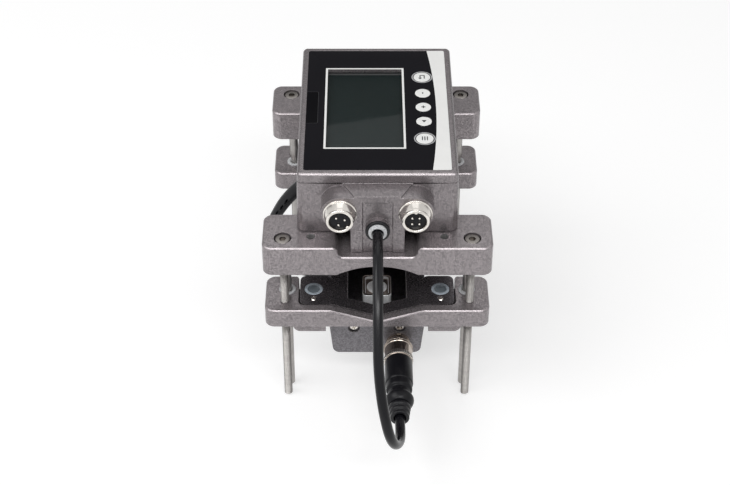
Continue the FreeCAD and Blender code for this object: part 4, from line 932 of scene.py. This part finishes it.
class METER_OT_display(bpy.types.Operator):
    """Glaze the display and finish the boards inside"""

    bl_idname = "meter.display"
    bl_label = "Display"

    def execute(self, context):
        weigh_normals(dressed("window_pane", "display_window", 0.15, "glass"))
        low, high = box("display_window")
        depth = 1.5
        # A flat grey strip under the glass's rear edge, painted light for the lit rear wall of the recess
        border = prism(rectangle(low.x, high.y - depth, high.x, high.y, low.z), mm("print_thickness"))
        new_piece("window_border", border, "bezel", body="root")
        dressed("display_module", "lcd_module", 0.3, "display")
        for node in ("key_board", "main_board"):
            dressed(node + "_card", node, 0.1, "board")
        dressed("lid_seal_ring", "lid_seal", 0.3, "rubber")
        return {"FINISHED"}


class METER_OT_connectors(bpy.types.Operator):
    """Turn the two plated connectors, with tapered shells, inserts and domed pins"""

    bl_idname = "meter.connectors"
    bl_label = "Connectors"

    def execute(self, context):
        for name, key_angle in (("3pin", -45), ("4pin", 90)):
            self.shell("connector_%s_shell" % name, key_angle)
            node = "connector_%s_insert" % name
            dressed(node + "_face", node, 0.1, "black_plastic")
            self.pins("connector_%s_pins" % name)
        return {"FINISHED"}

    def shell(self, node, key_angle):
        """Flange with a groove by it, tapered barrel, polished lip and the key rib in the mouth."""
        rear, face = depths(node)
        flange_r, barrel_r, bore, tail_r, rib_r = 7.75, 6.35, 4.9, 5.6, 0.9
        boss = face - 6.4
        flange = boss + 0.8
        groove = mm("connector_groove")
        shoulder = flange_r - groove
        body = lathe([(rear, tail_r, 0.1), (boss, tail_r, 0), (boss, flange_r, 0.1),
                      (flange, flange_r, 0.2), (flange + 0.2, shoulder - groove, 0.1),
                      (flange + groove, shoulder - groove, 0.1), (flange + 1.6 * groove, shoulder, 0.15),
                      (face - 1.9, barrel_r + 0.25, 0.5), (face - 1.3, barrel_r, 0.3),
                      (face - 0.35, barrel_r, 0.3), (face, barrel_r - 0.4, 0.25), (face, bore + 0.25, 0.2),
                      (face - 0.5, bore, 0.1)], bore, steps=96)
        rib = lathe([(boss, rib_r, 0), (face - 0.3, rib_r, 0.25)], steps=24)
        turn, reach = math.radians(key_angle), bore + 0.1
        shifted(rib, (reach * math.cos(turn), reach * math.sin(turn), 0))
        new_piece(node + "_plated", fronted(joined(body, rib), mid(node)), "nickel", node)

    def pins(self, node):
        """Domed contact pins."""
        root, tip = depths(node)
        radius = 0.55
        pin = lathe([(root, radius, 0.05), (tip - 0.35, radius, 0.2), (tip, radius * 0.45, 0.15)], steps=24)
        parts = [fronted(pin.copy(), place) for place in loose_centres(node)]
        pin.free()
        new_piece(node + "_domed", joined(*parts), "nickel", node)


class METER_OT_gland(bpy.types.Operator):
    """Make the cable gland's rubber ring and its light sleeve"""

    bl_idname = "meter.gland"
    bl_label = "Gland"

    def execute(self, context):
        place = mid("gland_seal")
        seat, lip, inner = 5, 5.7, 4.3
        rear, front = depths("gland_seal")
        behind = front - 1.2
        seal = lathe([(rear, seat, 0.1), (behind, seat, 0), (behind, lip, 0.12), (front, lip, 0.45),
                      (front, inner, 0.2)], inner)
        new_piece("gland_rubber", fronted(seal, place), "rubber", "gland_seal")
        rear, front = depths("gland_sleeve")
        bore, step = mm("cable") / 2, inner - 0.65
        sleeve = lathe([(rear, inner, 0.1), (front - 0.7, inner, 0.25), (front - 0.7, step, 0.1),
                        (front, step, 0.25), (front, bore + 0.5, 0.15), (front - 0.9, bore + 0.12, 0.1),
                        (rear, bore, 0)], bore)
        new_piece("gland_collar", fronted(sleeve, place), "light_plastic", "gland_sleeve")
        return {"FINISHED"}


class METER_OT_plug(bpy.types.Operator):
    """Turn the round plug: its socket, nut, grip and ribbed boot"""

    bl_idname = "meter.plug"
    bl_label = "Plug"

    def execute(self, context):
        place = mid("coupling_nut")
        # The socket and the nut's body take nickel darkened as painted shade, and the nut's teeth keep the
        # plain nickel
        dressed("panel_socket", "sensor_socket", 0.2, "dark_nickel")
        new_piece("knurled_nut", fronted(self.nut(), place), "dark_nickel nickel", "coupling_nut")
        new_piece("plug_grip", fronted(self.grip(), place), "black_plastic", "plug_body")
        new_piece("plug_boot_ribbed", fronted(self.boot(), place), "rubber", "plug_boot")
        return {"FINISHED"}

    def nut(self):
        """Rear collar with a groove, a plain barrel and a toothed front rim."""
        rear, front = depths("coupling_nut")
        bore, barrel, waist, groove, rim, tooth_r = 5.45, 6.9, 6.8, 6.7, 7.2, 0.36
        body = lathe([(rear, barrel - 0.3, 0.15), (rear + 0.5, rim, 0.2), (rear + 1.0, rim, 0.15),
                      (rear + 1.15, groove, 0.1), (rear + 1.4, groove, 0.1), (rear + 1.55, rim, 0.15),
                      (rear + 2.1, rim, 0.2), (rear + 2.5, waist, 0.2), (front - 3.1, waist, 0.2),
                      (front - 2.8, groove, 0.1), (front - 0.3, groove, 0.1), (front, barrel - 0.4, 0.15)],
                     bore, steps=96)
        tooth = lathe([(front - 2.7, tooth_r, 0.15), (front - 0.4, tooth_r, 0.15)], steps=12)
        teeth = copies(tooth, ring_points(rim - tooth_r, detail().nut_teeth))
        return joined(body, second_finish(teeth, lambda face: True))

    def grip(self):
        """Spigot, straight grip, softer band, waist and domed collar."""
        rear, front = depths("plug_body")
        start = depths("coupling_nut")[1] + 0.05
        spigot, grip, band, waist, collar = 5.4, 6.75, 6.3, 5.1, 6.9
        grip_end = start + 15.25
        band_end = grip_end + 4.5
        collar_start = band_end + 3.3
        return lathe([(rear, spigot, 0.2), (start, spigot, 0), (start, grip, 0.5), (grip_end, grip, 0.7),
                      (grip_end + 0.5, band, 0.3), (band_end, band, 1.2), (band_end + 0.4, waist, 0.6),
                      (collar_start, waist, 0.6), (collar_start + 1.5, collar, 1.6),
                      (front - 2.0, collar, 1.9), (front, 5.0, 0.3)], segments=6)

    def boot(self):
        """Ribs that taper to an open mouth."""
        rear, front = depths("plug_boot")
        ribs, big, small, mouth, depth, groove = 3, 5.3, 4.6, 2.9, 5, 0.75
        pitch = (front - rear) / ribs
        stations = [(rear, big - groove, 0)]
        for i in range(ribs):
            start = rear + pitch * i
            radius = big + (small - big) * i / (ribs - 1)
            stations += [(start + 0.45, radius - groove, 0.2), (start + 0.95, radius, 0.45),
                         (start + pitch - 0.3, radius - 0.1, 0.3)]
        stations += [(front, small - 0.4, 0.25), (front, mouth, 0.3), (front - depth, mouth, 0)]
        return lathe(stations, segments=4)


def route_curve(name, route, diameter, radii=None):
    """A NURBS line with the route's points as its control points."""
    data = bpy.data.curves.new(name, "CURVE")
    data.dimensions = "3D"
    data.resolution_u = 16
    spline = data.splines.new("NURBS")
    spline.points.add(len(route) - 1)
    for i, point in enumerate(route):
        spline.points[i].co = (*[value * MM for value in point], 1.0)
        spline.points[i].radius = radii[i] if radii else 1.0
    spline.order_u = 3
    spline.use_endpoint_u = True
    data.bevel_depth = diameter * MM / 2
    data.bevel_resolution = 8
    data.use_fill_caps = True
    curve = bpy.data.objects.new(name, data)
    bpy.context.scene.collection.objects.link(curve)
    return curve


def line_points(curve):
    """The points of a curve's own line, without its thickness."""
    thickness = curve.data.bevel_depth
    curve.data.bevel_depth = 0.0
    mesh = evaluated_mesh(curve)
    points = [tuple(vert.co) for vert in mesh.vertices]
    bpy.data.meshes.remove(mesh)
    curve.data.bevel_depth = thickness
    return points


def tube_mesh(curve):
    """A bmesh of the curve's tube, and the curve is used up."""
    mesh = evaluated_mesh(curve)
    bpy.data.curves.remove(curve.data)
    return clean(taken(mesh))


def free_cable(name, node, route, size):
    """A cable along its route."""
    curve = route_curve(name, route, mm(size))
    path = line_points(curve)
    cable = smooth_object(name, tube_mesh(curve), "jacket", 40)
    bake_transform(cable)
    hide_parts(node)
    getattr(detail(), size)


class METER_OT_cables(bpy.types.Operator):
    """Run the sensor cable and the jumper, with the jumper's strain reliefs"""

    bl_idname = "meter.cables"
    bl_label = "Cables"

    def execute(self, context):
        free_cable("sensor_lead", "sensor_cable", CABLE_ROUTE, "cable")
        relief = new_piece("slotted_relief", self.upper_relief(), "rubber", "jumper_upper_relief", sharp=40)
        grommet = dressed("grommet", "jumper_lower_relief", 0.2, "rubber")
        free_cable("jumper_lead", "jumper_cable", JUMPER_ROUTE, "jumper")
        return {"FINISHED"}

    def upper_relief(self):
        """The tapered relief, bent down from the housing's side, with three slots on each face."""
        thick, taper, lean = 6.6, [1.0, 1.0, 0.96, 0.9, 0.8], math.radians(27)
        hollow, inset, reach = Vector((0.55, 1.5, 1.8)), -1.6, 2.9
        bm = tube_mesh(route_curve("relief_line", RELIEF_ROUTE, thick, taper))
        first, last = Vector(RELIEF_ROUTE[1]), Vector(RELIEF_ROUTE[-1])
        for share in (0.3, 0.52, 0.74):
            for side in (-1, 1):
                slot = bmesh.new()
                bmesh.ops.create_uvsphere(slot, u_segments=24, v_segments=12, radius=1.0)
                bmesh.ops.scale(slot, vec=hollow * MM, verts=slot.verts)
                moved(slot, Matrix.Rotation(lean, 4, "Y"))
                bm = cut(bm, shifted(slot, first.lerp(last, share) + Vector((inset, side * reach, 0))))
        return clean(bm)


class METER_OT_transducers(bpy.types.Operator):
    """Finish the coupling blocks and the transducers behind them"""

    bl_idname = "meter.transducers"
    bl_label = "Transducers"

    def execute(self, context):
        block = eased_copy("coupling_block", 0.35, 3)
        block.normal_update()
        level = 0.95
        # The block's top faces take nickel darkened as painted shade
        second_finish(block, lambda face: face.normal.z > level)
        new_piece("coupling_frame", block, "coupling dark_nickel", "coupling_block")
        low, high = box("transducer_face")
        place = mid("transducer_face")
        margin = 0.35
        radius = (high.x - low.x) / 2 - margin
        disc = lathe([(low.z, radius, 0.05), (low.z + 0.2, radius, 0.1),
                      (high.z - 0.12, radius * 0.62, radius * 0.28), (high.z, 0, 0)], segments=6)
        new_piece("transducer_disc", shifted(disc, (place.x, place.y, 0)), "coupling", "transducer_face")
        dressed("upper_pad_block", "upper_coupling_pad", 0.3, "coupling", 3)
        for node in ("upper_transducer", "lower_transducer"):
            dressed(node + "_body", node, 0.3, "black_plastic")
        return {"FINISHED"}


def bare_tree(owner):
    """The node tree of a new material or world, emptied."""
    owner.use_nodes = True
    owner.node_tree.nodes.clear()
    return owner.node_tree


def white_mix(tree, lit, glow):
    """White to the camera, glossy and transmission rays, and the lit shader to the rest."""
    rays = add(tree, "ShaderNodeLightPath").outputs
    seen = rays["Is Camera Ray"]
    for kind in ("Is Glossy Ray", "Is Transmission Ray"):
        seen = add(tree, "ShaderNodeMath", {0: seen, 1: rays[kind]}, operation="MAXIMUM").outputs[0]
    return add(tree, "ShaderNodeMixShader", {0: seen, 1: lit.outputs[0], 2: glow.outputs[0]}).outputs[0]


class METER_OT_stage(bpy.types.Operator):
    """Set the floor, the light and the camera"""

    bl_idname = "meter.stage"
    bl_label = "Stage"

    def execute(self, context):
        stage = context.scene.meter_stage
        self.floor(stage)
        self.world(context, stage)
        self.lights(context, stage)
        self.cards(stage)
        self.camera(context, stage)
        context.scene.view_settings.view_transform = "Standard"
        return {"FINISHED"}

    def floor(self, stage):
        """A wide pale floor that keeps the object's shadow."""
        reach, drop = 6.0, 0.0002
        bm = bmesh.new()
        bmesh.ops.create_grid(bm, x_segments=2, y_segments=2, size=reach)
        floor = mesh_object("floor", bm)
        floor.location.z = -drop
        made = bpy.data.materials.new("Pale floor")
        tree = bare_tree(made)
        lit, shade = [add(tree, "ShaderNodeBsdfDiffuse", {"Color": (grey, grey, grey, 1.0)})
                      for grey in (0.82, 0.55)]
        glow = add(tree, "ShaderNodeEmission", {"Strength": stage.floor_glow})
        both = add(tree, "ShaderNodeAddShader", {0: shade.outputs[0], 1: glow.outputs[0]})
        add(tree, "ShaderNodeOutputMaterial", {"Surface": white_mix(tree, lit, both)})
        floor.data.materials.append(made)

    def world(self, context, stage):
        """White to the camera, and a plain even light on the object."""
        world = bpy.data.worlds.new("Studio")
        context.scene.world = world
        tree = bare_tree(world)
        lit = add(tree, "ShaderNodeBackground", {"Strength": stage.ambient})
        glow = add(tree, "ShaderNodeBackground")
        add(tree, "ShaderNodeOutputWorld", {"Surface": white_mix(tree, lit, glow)})

    def lights(self, context, stage):
        """Soft light from both sides and the rear, and a strip in front that the edges catch."""
        target = Vector((0, 0, 0.08))
        for name, power, width, depth, place in (
                ("key", stage.key_light, 0.9, 0.9, (-0.9, -0.35, 1.15)),
                ("right", stage.right_light, 0.9, 0.9, (1.0, -0.3, 1.1)),
                ("back", stage.back_light, 0.9, 0.9, (0.0, 0.8, 1.4)),
                ("front", stage.front_light, 1.5, 0.24, (0.0, -0.93, 1.22))):
            data = bpy.data.lights.new(name, "AREA")
            data.energy = power
            data.shape = "RECTANGLE"
            data.size = width
            data.size_y = depth
            lamp = bpy.data.objects.new(name, data)
            lamp.location = place
            lamp.rotation_euler = (target - Vector(place)).to_track_quat("-Z", "Y").to_euler()
            context.scene.collection.objects.link(lamp)

    def cards(self, stage):
        """A dark and a light card far behind, seen only as reflections, which meet along a sloping line."""
        side, back, foot, top = 2.2, 1.6, 0.02, 2.6
        left, right = 1.62, 0.84
        for name, glow, corners in (
                ("dark_card", stage.card_dark, ((-side, foot), (side, foot), (side, right), (-side, left))),
                ("light_card", stage.card_light, ((-side, left), (side, right), (side, top), (-side, top)))):
            bm = bmesh.new()
            bm.faces.new([bm.verts.new((x, back, z)) for x, z in corners])
            card = mesh_object(name, bm)
            made = bpy.data.materials.new(name)
            tree = bare_tree(made)
            light = add(tree, "ShaderNodeEmission", {"Strength": glow})
            add(tree, "ShaderNodeOutputMaterial", {"Surface": light.outputs[0]})
            card.data.materials.append(made)
            card.visible_camera = card.visible_diffuse = card.visible_shadow = False

    def camera(self, context, stage):
        """The photograph's viewing angle."""
        data = bpy.data.cameras.new("camera")
        data.lens = stage.lens
        data.sensor_width = 36.0
        camera = bpy.data.objects.new("camera", data)
        camera.location = stage.place
        camera.rotation_euler = (stage.pitch, 0.0, 0.0)
        context.scene.collection.objects.link(camera)
        context.scene.camera = camera


GROUPS = ((MeterFinish, "meter_finish"), (MeterDetail, "meter_detail"), (MeterStage, "meter_stage"))
OPERATORS = (
    METER_OT_castings,
    METER_OT_clamp_screws,
    METER_OT_rods,
    METER_OT_cover_screws,
    METER_OT_face,
    METER_OT_keys,
    METER_OT_display,
    METER_OT_connectors,
    METER_OT_gland,
    METER_OT_plug,
    METER_OT_cables,
    METER_OT_transducers,
    METER_OT_stage,
)


class METER_PT_panel(bpy.types.Panel):
    """The operators that build the meter's looks, and its settings."""

    bl_idname = "METER_PT_panel"
    bl_label = "Flow Meter"
    bl_space_type = "VIEW_3D"
    bl_region_type = "UI"
    bl_category = "Flow Meter"

    def draw(self, context):
        for operator in OPERATORS:
            self.layout.operator(operator.bl_idname)
        for group, name in GROUPS:
            for setting in group.__annotations__:
                self.layout.prop(getattr(context.scene, name), setting)


def register():
    for group, name in GROUPS:
        bpy.utils.register_class(group)
        setattr(bpy.types.Scene, name, PointerProperty(type=group))
    for item in (*OPERATORS, METER_PT_panel):
        bpy.utils.register_class(item)


def unregister():
    for item in reversed((*OPERATORS, METER_PT_panel)):
        bpy.utils.unregister_class(item)
    for group, name in reversed(GROUPS):
        delattr(bpy.types.Scene, name)
        bpy.utils.unregister_class(group)


def main():
    register()
    bpy.ops.meter.castings()
    bpy.ops.meter.clamp_screws()
    bpy.ops.meter.rods()
    bpy.ops.meter.cover_screws()
    bpy.ops.meter.face()
    bpy.ops.meter.keys()
    bpy.ops.meter.display()
    bpy.ops.meter.connectors()
    bpy.ops.meter.gland()
    bpy.ops.meter.plug()
    bpy.ops.meter.cables()
    bpy.ops.meter.transducers()
    bpy.ops.meter.stage()


if __name__ == "__main__":
    main()
